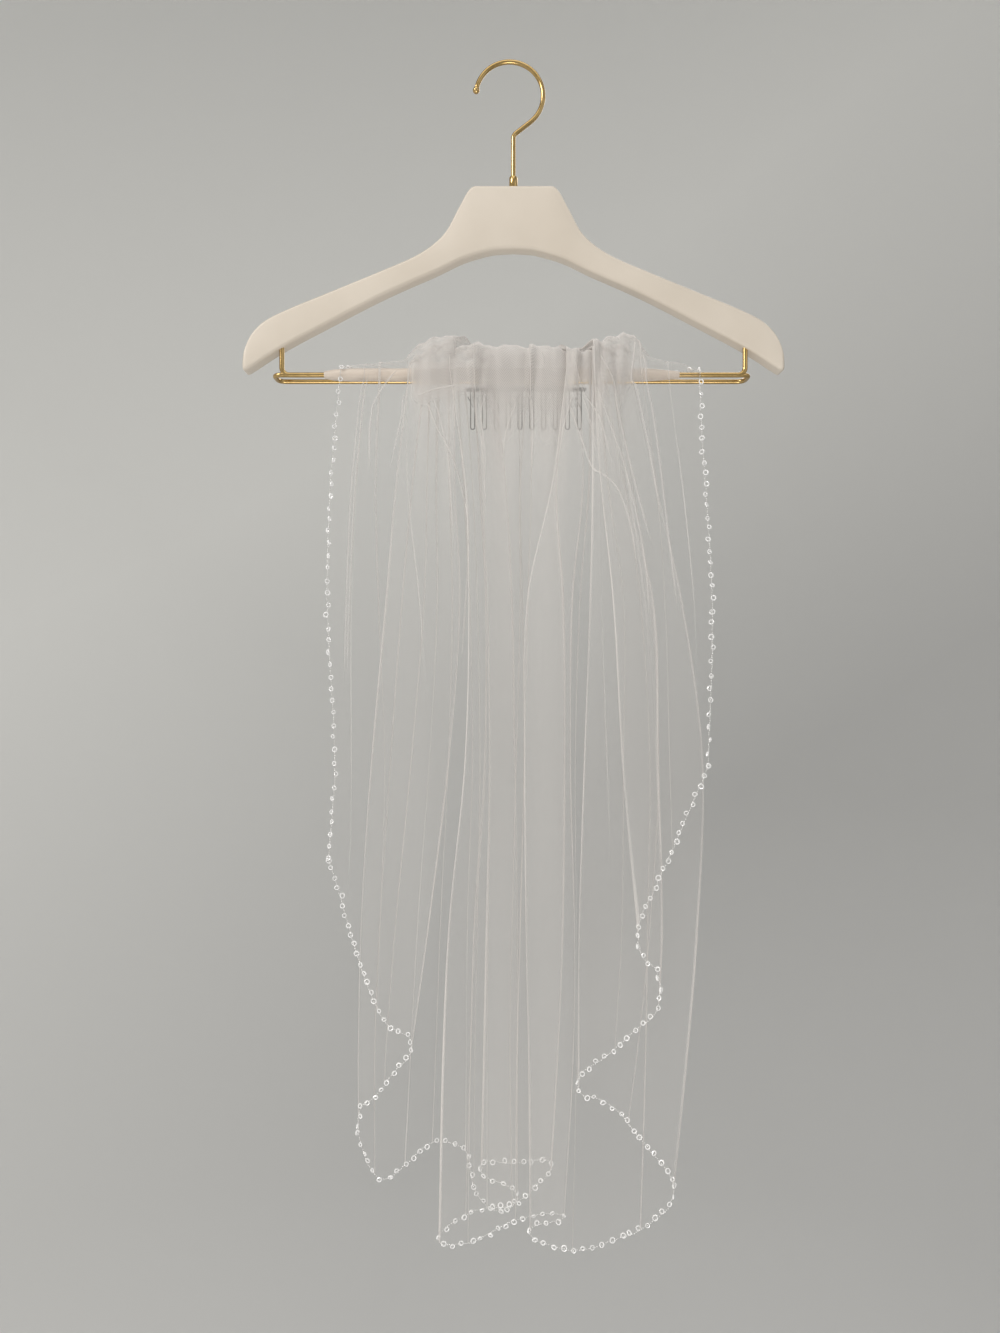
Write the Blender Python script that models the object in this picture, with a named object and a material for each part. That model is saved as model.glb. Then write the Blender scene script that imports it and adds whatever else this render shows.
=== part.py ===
"""A bridal veil of one tulle tier, hung over the trouser bar of a wooden hanger.

Metres, +Z up. The front faces -Y. The origin is inside the crown of the hook, where a peg or rail
carries the hanger. Tables are in millimetres, and MM turns them into metres.
"""

import math

import bmesh
import bpy
import numpy as np
from mathutils import Vector

MM = 0.001
SEAM = 0.3  # gap between pieces that meet

# Hook: wire bent to an arc that ends in a ball, then straight down into the hanger.
HOOK_WIRE_RADIUS = 1.9
HOOK_ARC_RADIUS = 27.4
HOOK_ARC_FROM = 171  # degrees, the ball's end
HOOK_ARC_TO = -52
HOOK_BALL_RADIUS = 2.8
HOOK_BEND_RADIUS = 5.0
HOOK_ARC_Z = HOOK_WIRE_RADIUS - HOOK_ARC_RADIUS
MIDDLE_X = 3.2  # the stem and the hanger's middle lie this far right of the hook's crown

# Hanger body, a shaped board with a square block in its middle.
BLOCK_TOP_Z = -101.5
BODY_DEPTH_MIDDLE = 15.0
BODY_DEPTH_END = 17.0
BODY_HALF_LENGTH = 219.0
BODY_CORNER_RADIUS = 3.0
BORE_CLEARANCE = 0.3
STEM_DEPTH = 23.0
# Each row is a section of the right half: distance from the middle, height of top and of underside.
BODY_SECTIONS = (
    # x, top z, underside z
    (14.0, -101.5, -153.4),
    (31.0, -101.5, -157.4),
    (35.0, -103.8, -158.6),
    (44.0, -119.0, -162.0),
    (55.0, -139.0, -167.4),
    (66.0, -149.6, -172.6),
    (80.0, -158.4, -178.6),
    (106.0, -169.8, -190.4),
    (150.0, -188.0, -213.0),
    (185.0, -202.6, -231.6),
    (201.0, -211.0, -241.4),
    (211.0, -221.0, -248.0),
    (217.0, -233.5, -251.0),
    (219.0, -242.0, -249.5),
)
BODY_MIDDLE_SECTION = (0.0, -101.5, -152.6)

# Collar where the hook enters the block.
COLLAR_OUTER_RADIUS = 3.4
COLLAR_HEIGHT = 9.5

# Trouser bar: a front rod that turns up at both ends, and a rear rod that joins it as a long loop.
BAR_Z = -253.9
BAR_WIRE_RADIUS = 2.05
REAR_WIRE_RADIUS = 1.95
FRONT_ROD_Y = -4.0
REAR_ROD_Y = 15.0
STUB_X = 187.5
STUB_TOP_Z = -222.3
BAR_LEFT_X = -194.0
BAR_RIGHT_X = 191.0
BAR_BEND_RADIUS = 6.0

# Sleeve of padded satin on the front rod.
SLEEVE_INNER_RADIUS = BAR_WIRE_RADIUS + SEAM
SLEEVE_SECTIONS = (
    # x, radius
    (-153.0, 3.1),
    (-147.0, 4.2),
    (-132.0, 5.2),
    (-20.0, 5.4),
    (104.0, 5.3),
    (118.0, 4.5),
    (128.0, 3.5),
    (134.0, 2.9),
)

# Comb that the tulle is gathered on. It hangs behind the rear rod, teeth down.
COMB_LEFT_X = -39.0
COMB_RIGHT_X = 61.0
COMB_Y = 30.0
COMB_TOP = -0.6  # height of its spine's top edge from the bar's axis
COMB_SPINE_HEIGHT = 3.0
COMB_THICKNESS = 1.6
COMB_TEETH = 20
COMB_TOOTH_WIDTH = 1.5
COMB_TOOTH_LENGTH = 33.0

# Veil. The cloth is a wall through fold lines that run from the bar down to the hem.
CLOTH_THICKNESS = 1.0
LAYER_BACK_Y = -12.0  # where the rearmost layer hangs
LAYER_PITCH = 2.8
FOLD_LAYERS = 0.6  # half the gap of a turned fold, in layers
BAR_FOLD_RADIUS = 1.0
GATHER_Y = 14.5  # where a layer with no stand-off would reach the comb
GATHER_SPREAD = 0.72  # how much of its stand-off from the bar a layer keeps there
LEFT_GATHER_SHIFT = -5.0  # the left cascade is gathered this much further left
SPREAD_DROP = 240.0  # below this drop the layers hang at their full pitch
LINE_DROPS = (0.0, 90.0, 185.0, 310.0, 435.0, 540.0)
# A row for each fold line, from the left side edge to the right one. x is from the hanger's middle at
# each of LINE_DROPS, then at the hem. turn is +1 where the cloth turns back at a right-hand fold, -1
# at a left-hand one and 0 where it passes on. layer counts forward from the rearmost layer. front and
# crest say how far the cloth stands in front of and above the front rod's axis.
FOLD_LINES = (
    # x at the drops, hem x, hem drop, turn, layer, front, crest
    ((-139, -146, -147, -141, None, None), -146, 388, 0, 5.5, 6.3, 6.5),
    ((-107, -110, -107, -102, -105, None), -107, 505, 0, 5.2, 11.5, 11.5),
    ((-52, -46, -42, -51, -66, None), -80, 535, 1, 4.5, 14.5, 28),
    ((-67, -69, -71, -81, -93, -101), -102, 566, 0, 3.6, 12.9, 18),
    ((-84, -94, -102, -113, -121, -124), -124, 602, -1, 2.7, 9.5, 10.5),
    ((-71, -81, -89, -98, -106, -110), -110, 639, 0, 2, 8.2, 9),
    ((-60, -62, -61, -67, -76, -82), -87, 633, 0, 1.4, 7.3, 8.6),
    ((-52, -51, -49, -52, -58, -62), -65, 616, 0, 0.7, 6.6, 8.3),
    ((-45, -40, -35, -33, -37, -38), -39, 625, 0, 0.5, 6.5, 8.6),
    ((-40, -33, -29, -27, -29, -31), -32, 654, 0, 0.9, 6.5, 9),
    ((-34, -26, -21, -19, -20, -21), -21, 669, 0, 1.1, 6.7, 9.4),
    ((-16, -6, -1, 1, 3, 3), 3, 657, 1, 1.9, 7.8, 10.8),
    ((-28, -25, -22, -20, -22, -24), -26, 636, -1, 3.1, 9.8, 13.2),
    ((5, 5, 7, 8, 5, 3), 2, 627, 0, 3.8, 11, 14.4),
    ((44, 34, 39, 40, 39, 35), 30, 630, 1, 4.6, 12.4, 15.8),
    ((11, 5, 5, 2, -1, -3), -1, 658, 0, 5.4, 13.8, 16.9),
    ((-27, -25, -22, -22, -30, -34), -38, 668, 0, 6, 14.9, 17.6),
    ((-47, -39, -36, -39, -51, -56), -59, 683, -1, 6.8, 16.6, 19.2),
    ((-31, -27, -22, -23, -31, -34), -36, 688, 0, 7.5, 18, 20.4),
    ((13, 14, 11, 8, 5, 2), 1, 666, 0, 7.9, 18.7, 21),
    ((51, 55, 46, 44, 47, 46), 39, 663, 1, 8.8, 20.2, 22.4),
    ((41, 30, 10, 8, 9, 11), 12, 673, -1, 10, 22.6, 25),
    ((60, 59, 51, 47, 48, 48), 45, 686, 0, 10.8, 21.8, 24.5),
    ((78, 87, 98, 105, 103, 101), 97, 669, 0, 11.3, 18.4, 22.6),
    ((93, 111, 129, 144, 140, 132), 122, 638, 1, 12.2, 17.5, 22),
    ((79, 92, 105, 111, 104, 93), 87, 586, 0, 13.2, 21.5, 25.4),
    ((62, 61, 58, 53, 49, 49), 48, 553, -1, 14.2, 24.7, 28),
    ((66, 72, 83, 83, 82, 79), 77, 527, 0, 15, 26.35, 29.5),
    ((71, 84, 106, 110, 113, None), 111, 483, 1, 15.8, 28.1, 30.9),
    ((62, 66, 74, 81, 92, None), 93, 438, -1, 17.2, 34, 36),
    ((100, 110, 114, 117, None, None), 119, 374, 0, 17.7, 25, 26),
    ((150, 151, 150, 147, None, None), 145, 310, 0, 17.7, 4.2, 4.2),
)
LEFT_CASCADE_LINES = 5  # these come forward towards the left side edge, the others towards the right
SKIRT_LEVELS = 15
HEADING_LEVELS = 9
LINE_STEPS = 2  # steps between neighbouring fold lines
ARC_ANGLES = (-90, -45, 0, 45, 90)

COLOURS = {
    # node: colour, roughness, metallic
    "hook": ((0.60, 0.42, 0.18), 0.25, 1.0),
    "hook_collar": ((0.60, 0.42, 0.18), 0.25, 1.0),
    "trouser_bar": ((0.60, 0.42, 0.18), 0.25, 1.0),
    "hanger_body": ((0.78, 0.72, 0.64), 0.45, 0.0),
    "bar_sleeve": ((0.80, 0.70, 0.62), 0.5, 0.0),
    "comb": ((0.35, 0.36, 0.36), 0.35, 1.0),
    "veil_heading": ((0.86, 0.83, 0.81), 0.7, 0.0),
    "veil_skirt": ((0.88, 0.87, 0.85), 0.7, 0.0),
}


def clear_scene():
    for old in list(bpy.data.objects):
        bpy.data.objects.remove(old)


def material_for(name):
    colour, roughness, metallic = COLOURS[name]
    material = bpy.data.materials.new(name)
    material.use_nodes = True
    shader = material.node_tree.nodes["Principled BSDF"]
    shader.inputs["Base Color"].default_value = (*colour, 1.0)
    shader.inputs["Roughness"].default_value = roughness
    shader.inputs["Metallic"].default_value = metallic
    return material


def make_object(name, points, faces, smooth_angle=None):
    """A mesh object from points in millimetres."""
    mesh = bpy.data.meshes.new(name)
    mesh.from_pydata([tuple(MM * c for c in p) for p in points], [], faces)
    mesh.validate()
    if smooth_angle is not None:
        mesh.shade_smooth()
        mesh.set_sharp_from_angle(angle=math.radians(smooth_angle))
    mesh.materials.append(material_for(name))
    thing = bpy.data.objects.new(name, mesh)
    bpy.context.scene.collection.objects.link(thing)
    return thing


def face_outwards(thing):
    work = bmesh.new()
    work.from_mesh(thing.data)
    bmesh.ops.recalc_face_normals(work, faces=work.faces)
    work.to_mesh(thing.data)
    work.free()
    return thing


def loft(rings, closed=False):
    """Points and faces through rings of equal length, capped at both ends unless they close."""
    count = len(rings[0])
    points = [tuple(p) for ring in rings for p in ring]
    faces = []
    spans = len(rings) if closed else len(rings) - 1
    for i in range(spans):
        here, there = i * count, (i + 1) % len(rings) * count
        for j in range(count):
            k = (j + 1) % count
            faces.append((here + j, here + k, there + k, there + j))
    if not closed:
        faces.append(tuple(range(count))[::-1])
        faces.append(tuple(range(len(points) - count, len(points))))
    return points, faces


def rounded_path(corners, radius, steps=5):
    """The corner points joined by straight runs, with each inner corner bent to this radius."""
    corners = [Vector(c) for c in corners]
    path = [corners[0]]
    for before, corner, after in zip(corners, corners[1:], corners[2:]):
        back = (before - corner).normalized()
        on = (after - corner).normalized()
        half = back.angle(on) / 2
        reach = radius / math.tan(half)
        centre = corner + (back + on).normalized() * (radius / math.sin(half))
        first, last = corner + back * reach - centre, corner + on * reach - centre
        turn = first.angle(last)
        for i in range(steps + 1):
            t = i / steps
            arm = first * math.sin((1 - t) * turn) + last * math.sin(t * turn)
            path.append(centre + arm / math.sin(turn))
    path.append(corners[-1])
    return path


def wire(path, radii, sides=10):
    """Points and faces of a round wire along a path, with a radius for each point."""
    rings = []
    side = None
    for i, centre in enumerate(path):
        along = (path[min(i + 1, len(path) - 1)] - path[max(i - 1, 0)]).normalized()
        if side is None:
            side = along.orthogonal().normalized()
        side = (side - along * side.dot(along)).normalized()
        up = along.cross(side)
        ring = []
        for j in range(sides):
            angle = 2 * math.pi * j / sides
            ring.append(centre + (side * math.cos(angle) + up * math.sin(angle)) * radii[i])
        rings.append(ring)
    return loft(rings)


def bored(thing, name, x, y, low_z, high_z, radius):
    """Cuts an upright round bore with a hidden cutter."""
    work = bmesh.new()
    bmesh.ops.create_cone(
        work, cap_ends=True, segments=16, radius1=radius * MM, radius2=radius * MM,
        depth=(high_z - low_z) * MM,
    )
    mesh = bpy.data.meshes.new(name)
    work.to_mesh(mesh)
    work.free()
    cutter = bpy.data.objects.new(name, mesh)
    cutter.location = (x * MM, y * MM, (low_z + high_z) / 2 * MM)
    cutter.hide_render = True
    cutter.display_type = "WIRE"
    bpy.context.scene.collection.objects.link(cutter)
    cut = thing.modifiers.new(name, "BOOLEAN")
    cut.operation = "DIFFERENCE"
    cut.object = cutter


def make_hook():
    path, radii = [], []
    ball_steps = 6
    start = math.radians(HOOK_ARC_FROM)
    end = math.radians(HOOK_ARC_TO)
    centre = Vector((0, 0, HOOK_ARC_Z))

    def on_arc(angle):
        return centre + Vector((math.cos(angle), 0, math.sin(angle))) * HOOK_ARC_RADIUS

    ball = on_arc(start)
    down = Vector((math.sin(start), 0, -math.cos(start))) * -1
    for i in range(ball_steps):
        angle = math.radians(12 + i * 26)
        path.append(ball + down * HOOK_BALL_RADIUS * math.cos(angle))
        radii.append(max(HOOK_BALL_RADIUS * math.sin(angle), 0.5))
    arc_steps = 30
    first = start - 0.09
    for i in range(arc_steps + 1):
        path.append(on_arc(first + (end - first) * i / arc_steps))
        radii.append(HOOK_WIRE_RADIUS)
    leave = path[-1]
    heading = Vector((math.sin(end), 0, -math.cos(end)))
    bend = leave + heading * ((MIDDLE_X - leave.x) / heading.x)
    foot = Vector((MIDDLE_X, 0, BLOCK_TOP_Z - STEM_DEPTH + SEAM))
    for point in rounded_path((leave, bend, foot), HOOK_BEND_RADIUS)[1:]:
        path.append(point)
        radii.append(HOOK_WIRE_RADIUS)
    return face_outwards(make_object("hook", *wire(path, radii), smooth_angle=50))


def make_collar():
    inner = HOOK_WIRE_RADIUS + BORE_CLEARANCE
    low, high = BLOCK_TOP_Z + SEAM, BLOCK_TOP_Z + SEAM + COLLAR_HEIGHT
    profile = (
        (inner, low),
        (COLLAR_OUTER_RADIUS, low),
        (COLLAR_OUTER_RADIUS, high - 0.8),
        (COLLAR_OUTER_RADIUS - 0.7, high),
        (inner, high),
    )
    rings = []
    sides = 16
    for i in range(sides):
        angle = 2 * math.pi * i / sides
        across = (math.cos(angle), math.sin(angle))
        rings.append([(MIDDLE_X + across[0] * r, across[1] * r, z) for r, z in profile])
    return face_outwards(make_object("hook_collar", *loft(rings, closed=True), smooth_angle=40))


def body_ring(x, top, bottom):
    """A section across the hanger: a rectangle with rounded corners."""
    share = (x / BODY_HALF_LENGTH) ** 2
    half = (BODY_DEPTH_MIDDLE + (BODY_DEPTH_END - BODY_DEPTH_MIDDLE) * share) / 2
    radius = min(BODY_CORNER_RADIUS, (top - bottom) / 2.4)
    if abs(x) > BODY_HALF_LENGTH - 1:
        half -= BODY_CORNER_RADIUS
    ring = []
    corners = ((1, 1, 0), (-1, 1, 90), (-1, -1, 180), (1, -1, 270))
    for y_side, z_side, from_angle in corners:
        edge = top if z_side > 0 else bottom
        for step in range(4):
            angle = math.radians(from_angle + 30 * step)
            y = y_side * (half - radius) + radius * math.cos(angle)
            z = edge - z_side * radius + radius * math.sin(angle)
            ring.append((MIDDLE_X + x, y, z))
    return ring


def make_hanger_body():
    right = [body_ring(*row) for row in BODY_SECTIONS]
    left = [body_ring(-x, top, bottom) for x, top, bottom in reversed(BODY_SECTIONS)]
    rings = [*left, body_ring(*BODY_MIDDLE_SECTION), *right]
    body = face_outwards(make_object("hanger_body", *loft(rings), smooth_angle=40))
    stem_bore = HOOK_WIRE_RADIUS + BORE_CLEARANCE
    bored(body, "stem_bore", MIDDLE_X, 0, BLOCK_TOP_Z - STEM_DEPTH, BLOCK_TOP_Z + 5, stem_bore)
    stub_bore = BAR_WIRE_RADIUS + BORE_CLEARANCE
    for side, name in ((-1, "left_bore"), (1, "right_bore")):
        x = MIDDLE_X + side * STUB_X
        bored(body, name, x, FRONT_ROD_Y, BAR_Z + 8, STUB_TOP_Z + SEAM, stub_bore)
    return body


def make_trouser_bar():
    ends = (-STUB_X, STUB_X)
    corners = [Vector((MIDDLE_X + ends[0], FRONT_ROD_Y, STUB_TOP_Z))]
    corners += [Vector((MIDDLE_X + x, FRONT_ROD_Y, BAR_Z)) for x in ends]
    corners.append(Vector((MIDDLE_X + ends[1], FRONT_ROD_Y, STUB_TOP_Z)))
    path = rounded_path(corners, BAR_BEND_RADIUS)
    front = make_object("trouser_bar", *wire(path, [BAR_WIRE_RADIUS] * len(path)), smooth_angle=50)
    face_outwards(front)
    inset = 12.0
    loop = (
        (BAR_LEFT_X + inset, FRONT_ROD_Y),
        (BAR_LEFT_X, FRONT_ROD_Y),
        (BAR_LEFT_X, REAR_ROD_Y),
        (BAR_RIGHT_X, REAR_ROD_Y),
        (BAR_RIGHT_X, FRONT_ROD_Y),
        (BAR_RIGHT_X - inset, FRONT_ROD_Y),
    )
    path = rounded_path([Vector((MIDDLE_X + x, y, BAR_Z)) for x, y in loop], BAR_BEND_RADIUS)
    points, faces = wire(path, [REAR_WIRE_RADIUS] * len(path))
    rear = bpy.data.objects.new("rear_rod", bpy.data.meshes.new("rear_rod"))
    rear.data.from_pydata([tuple(MM * c for c in p) for p in points], [], faces)
    face_outwards(rear)
    rear.hide_render = True
    rear.display_type = "WIRE"
    bpy.context.scene.collection.objects.link(rear)
    join = front.modifiers.new("join_rear_rod", "BOOLEAN")
    join.operation = "UNION"
    join.object = rear
    return front


def make_sleeve():
    sides = 14
    outline = [(x, radius) for x, radius in SLEEVE_SECTIONS]
    outline += [(SLEEVE_SECTIONS[-1][0], SLEEVE_INNER_RADIUS), (SLEEVE_SECTIONS[0][0], SLEEVE_INNER_RADIUS)]
    rings = []
    for i in range(sides):
        angle = 2 * math.pi * i / sides
        across, up = math.cos(angle), math.sin(angle)
        rings.append(
            [(MIDDLE_X + x, FRONT_ROD_Y + r * across, BAR_Z + r * up) for x, r in outline]
        )
    return face_outwards(make_object("bar_sleeve", *loft(rings, closed=True), smooth_angle=40))


def make_comb():
    top = BAR_Z + COMB_TOP
    low = top - COMB_SPINE_HEIGHT
    pitch = (COMB_RIGHT_X - COMB_LEFT_X - COMB_TOOTH_WIDTH) / (COMB_TEETH - 1)
    outline = []
    for i in range(COMB_TEETH):
        left = COMB_LEFT_X + i * pitch
        tip = low - COMB_TOOTH_LENGTH
        outline += [(left, low), (left + 0.3, tip), (left + COMB_TOOTH_WIDTH - 0.3, tip)]
        outline.append((left + COMB_TOOTH_WIDTH, low))
    outline += [(COMB_RIGHT_X, top), (COMB_LEFT_X, top)]
    half = COMB_THICKNESS / 2
    rings = [[(MIDDLE_X + x, COMB_Y + y, z) for x, z in outline] for y in (-half, half)]
    return face_outwards(make_object("comb", *loft(rings)))


def smooth_step(t):
    t = min(max(t, 0.0), 1.0)
    return t * t * (3 - 2 * t)


def line_x(row, drop):
    """Where a fold line runs at this drop, as a smooth curve through its measured places."""
    places, hem_x, hem_drop = row[0], row[1], row[2]
    known = [(d, x) for d, x in zip(LINE_DROPS, places) if x is not None and d < hem_drop - 20]
    known.append((hem_drop, hem_x))
    slopes = []
    for i in range(len(known)):
        low, high = known[max(i - 1, 0)], known[min(i + 1, len(known) - 1)]
        slopes.append((high[1] - low[1]) / (high[0] - low[0]))
    for i in range(len(known) - 1):
        (d0, x0), (d1, x1) = known[i], known[i + 1]
        if drop <= d1 or i == len(known) - 2:
            t = (drop - d0) / (d1 - d0)
            span = d1 - d0
            rise = (1 + 2 * t) * (1 - t) ** 2 * x0 + t * t * (3 - 2 * t) * x1
            return rise + span * (t * (1 - t) ** 2 * slopes[i] - t * t * (1 - t) * slopes[i + 1])


def keys_at(place):
    """The key points of the cloth at one level: place gives x, y, z and the fold's radii in y and z."""
    keys = []
    for number, row in enumerate(FOLD_LINES):
        turn = row[3]
        way = -1 if number < LEFT_CASCADE_LINES else 1
        x, y, z, forward, upward = place(row, way)
        if turn == 0:
            keys.append((x, y, z))
            continue
        reach = math.hypot(forward, upward)
        for degrees in ARC_ANGLES:
            angle = math.radians(degrees)
            side = turn * reach * (math.cos(angle) - 1)
            out = way * math.sin(angle)
            keys.append((x + side, y - out * forward, z + out * upward))
    return np.array(keys)


def column_plan():
    """For each column of the cloth's grid: the key it starts from and how far on it lies."""
    plan = []
    key = 0
    for number, row in enumerate(FOLD_LINES):
        inner = len(ARC_ANGLES) - 1 if row[3] else 0
        plan += [(key + i, 0.0) for i in range(inner)]
        key += inner
        if number < len(FOLD_LINES) - 1:
            plan += [(key, step / LINE_STEPS) for step in range(LINE_STEPS)]
            key += 1
    plan.append((key - 1, 1.0))
    return plan


def spline_row(keys, plan):
    """Points at the plan's columns on a centripetal spline through the keys."""
    first, last = 2 * keys[0] - keys[1], 2 * keys[-1] - keys[-2]
    padded = np.vstack([first, keys, last])
    gaps = np.sqrt(np.maximum(np.linalg.norm(np.diff(padded, axis=0), axis=1), 1e-6))
    row = []
    for key, share in plan:
        p0, p1, p2, p3 = padded[key : key + 4]
        g0, g1, g2 = gaps[key : key + 3]
        leave = (p1 - p0) / g0 - (p2 - p0) / (g0 + g1) + (p2 - p1) / g1
        arrive = (p2 - p1) / g1 - (p3 - p1) / (g1 + g2) + (p3 - p2) / g2
        leave, arrive = leave * g1, arrive * g1
        t = share
        point = (1 + 2 * t) * (1 - t) ** 2 * p1 + t * t * (3 - 2 * t) * p2
        row.append(point + t * (1 - t) ** 2 * leave - t * t * (1 - t) * arrive)
    return np.array(row)


def skirt_place(level):
    """Where each fold line lies at this share of its drop."""

    def place(row, _way):
        hem_drop, layer, front = row[2], row[4], row[5]
        drop = level * hem_drop
        low_y = LAYER_BACK_Y - layer * LAYER_PITCH
        spread = smooth_step(drop / SPREAD_DROP)
        y = (FRONT_ROD_Y - front) * (1 - spread) + low_y * spread
        radius = BAR_FOLD_RADIUS * (1 - spread) + FOLD_LAYERS * LAYER_PITCH * spread
        return line_x(row, drop), y, -drop, radius, 0.0

    return place


def heading_profile(front, crest):
    """The way of the cloth from in front of the bar over both rods to the comb, as (y, z)."""
    return (
        (FRONT_ROD_Y - front, 0.0),
        (FRONT_ROD_Y - 0.74 * front, 0.72 * crest),
        (FRONT_ROD_Y + 4, crest),
        (REAR_ROD_Y - 3, 0.5 + 0.82 * crest),
        (GATHER_Y + 0.94 * GATHER_SPREAD * front, 2 + 0.42 * crest),
        (GATHER_Y + GATHER_SPREAD * front, 0.0),
    )


def on_profile(profile, level):
    """The point at this share of the way along a smooth curve through a profile's points."""
    spans = len(profile) - 1
    at = min(max(level * spans, 0.0), spans - 1e-9)
    i = int(at)
    t = at - i
    padded = [Vector(p) for p in (profile[0], *profile, profile[-1])]
    p0, p1, p2, p3 = padded[i : i + 4]
    return 0.5 * (
        2 * p1 + (p2 - p0) * t + (2 * p0 - 5 * p1 + 4 * p2 - p3) * t * t
        + (3 * p1 - p0 - 3 * p2 + p3) * t ** 3
    )


def heading_place(level):
    """Where each fold line lies at this share of its way over the bar."""
    left, right = line_x(FOLD_LINES[0], 0.0), line_x(FOLD_LINES[-1], 0.0)
    past = max(level - 0.25, 0.0) / 0.75
    gathered = 1.15 * past * past / (past + 0.15)

    def place(row, way):
        profile = heading_profile(row[5], row[6])
        point = on_profile(profile, level)
        # A fold's two layers lie one over the other, square to the way the cloth runs.
        run = (on_profile(profile, level + 0.03) - on_profile(profile, level - 0.03)).normalized()
        forward = BAR_FOLD_RADIUS * run.y
        upward = BAR_FOLD_RADIUS * run.x * smooth_step(level / 0.15)
        bar_x = line_x(row, 0.0)
        share = (bar_x - left) / (right - left)
        comb_x = COMB_LEFT_X + (COMB_RIGHT_X - COMB_LEFT_X) * share
        comb_x += LEFT_GATHER_SHIFT if way < 0 else 0.0
        return bar_x * (1 - gathered) + comb_x * gathered, point.x, point.y, forward, upward

    return place


def directions(grid, axis):
    """At each point the mean of the directions to and from its neighbours along one axis."""
    steps = np.diff(grid, axis=axis)
    steps /= np.maximum(np.linalg.norm(steps, axis=2, keepdims=True), 1e-9)
    first, last = np.take(steps, [0], axis), np.take(steps, [-1], axis)
    return np.concatenate([first, steps], axis) + np.concatenate([steps, last], axis)


def cloth_wall(name, grid):
    """A closed wall of the cloth's thickness, half of it on each side of a grid of points."""
    normals = np.cross(directions(grid, 0), directions(grid, 1))
    normals /= np.maximum(np.linalg.norm(normals, axis=2, keepdims=True), 1e-9)
    levels, columns = grid.shape[:2]
    sides = [grid + normals * CLOTH_THICKNESS * half for half in (0.5, -0.5)]
    points = np.concatenate([side.reshape(-1, 3) for side in sides])
    points += (MIDDLE_X, 0.0, BAR_Z)

    def at(side, i, j):
        return side * levels * columns + i * columns + j

    faces = []
    for i in range(levels - 1):
        for j in range(columns - 1):
            square = ((i, j), (i, j + 1), (i + 1, j + 1), (i + 1, j))
            faces.append(tuple(at(0, *corner) for corner in square))
            faces.append(tuple(at(1, *corner) for corner in reversed(square)))
    rim = [(0, j) for j in range(columns - 1)]
    rim += [(i, columns - 1) for i in range(levels - 1)]
    rim += [(levels - 1, j) for j in range(columns - 1, 0, -1)]
    rim += [(i, 0) for i in range(levels - 1, 0, -1)]
    for here, there in zip(rim, rim[1:] + rim[:1]):
        faces.append((at(0, *there), at(0, *here), at(1, *here), at(1, *there)))
    thing = make_object(name, points.tolist(), faces, smooth_angle=60)
    return face_outwards(thing)


def make_veil():
    plan = column_plan()
    skirt_levels = [(i / SKIRT_LEVELS) ** 1.15 for i in range(SKIRT_LEVELS + 1)]
    skirt = np.array([spline_row(keys_at(skirt_place(level)), plan) for level in skirt_levels])
    first = 0.012  # the heading starts just above the skirt's top edge
    heading_levels = [first + (1 - first) * i / HEADING_LEVELS for i in range(HEADING_LEVELS + 1)]
    heading = np.array([spline_row(keys_at(heading_place(level)), plan) for level in heading_levels])
    cloth_wall("veil_skirt", skirt)
    cloth_wall("veil_heading", heading)


clear_scene()
make_hook()
make_collar()
make_hanger_body()
make_trouser_bar()
make_sleeve()
make_comb()
make_veil()
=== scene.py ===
"""A bridal veil of sheer tulle with a beaded edge, gathered on a comb and hung over a hanger's bar.

Metres, +Z up, the front faces -Y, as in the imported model. Tables are in millimetres.
"""

import math
import random

import bmesh
import bpy
import numpy as np
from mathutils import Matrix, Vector
from mathutils.bvhtree import BVHTree


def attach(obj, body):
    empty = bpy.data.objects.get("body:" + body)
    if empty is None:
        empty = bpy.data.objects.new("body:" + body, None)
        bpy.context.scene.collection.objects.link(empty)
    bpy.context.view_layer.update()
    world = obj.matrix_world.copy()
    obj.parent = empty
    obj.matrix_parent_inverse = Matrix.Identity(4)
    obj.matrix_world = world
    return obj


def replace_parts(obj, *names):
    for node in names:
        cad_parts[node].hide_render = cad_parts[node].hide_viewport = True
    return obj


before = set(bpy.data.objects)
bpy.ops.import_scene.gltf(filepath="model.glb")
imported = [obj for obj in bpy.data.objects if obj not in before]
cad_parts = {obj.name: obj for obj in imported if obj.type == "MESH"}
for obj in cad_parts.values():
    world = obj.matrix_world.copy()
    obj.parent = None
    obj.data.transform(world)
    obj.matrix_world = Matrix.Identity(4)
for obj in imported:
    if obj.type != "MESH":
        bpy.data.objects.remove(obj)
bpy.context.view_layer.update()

MM = 0.001
MIDDLE_X = 3.2  # the hanger's middle, right of the hook's crown

# The photograph's camera: level, a little left of the hanger's middle.
EYE = (-0.0077, -0.8146, -0.4899)
FOCAL_PIXELS = 1001.3
PICTURE_HEIGHT = 1333
SENSOR = 36.0

# Hanger
BODY_SECTIONS = (
    # distance from the middle, top z, underside z
    (0.0, -101.5, -152.6),
    (14.0, -101.5, -153.4),
    (31.0, -101.5, -157.4),
    (35.0, -103.8, -158.6),
    (44.0, -119.0, -162.0),
    (55.0, -139.0, -167.4),
    (66.0, -149.6, -172.6),
    (80.0, -158.4, -178.6),
    (106.0, -169.8, -190.4),
    (150.0, -188.0, -213.0),
    (185.0, -202.6, -231.6),
    (201.0, -211.0, -241.4),
    (211.0, -221.0, -248.0),
    (217.0, -233.5, -251.0),
    (219.0, -242.0, -249.5),
)
BODY_HALF_LENGTH = 219.0
BODY_DEPTH_MIDDLE = 15.0
BODY_DEPTH_END = 17.0
BODY_CORNER_RADIUS = 3.0
HOOK_WIRE_RADIUS = 1.9
HOOK_ARC_RADIUS = 27.4
HOOK_ARC_Z = HOOK_WIRE_RADIUS - HOOK_ARC_RADIUS
HOOK_ARC_FROM = 171.0
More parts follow.
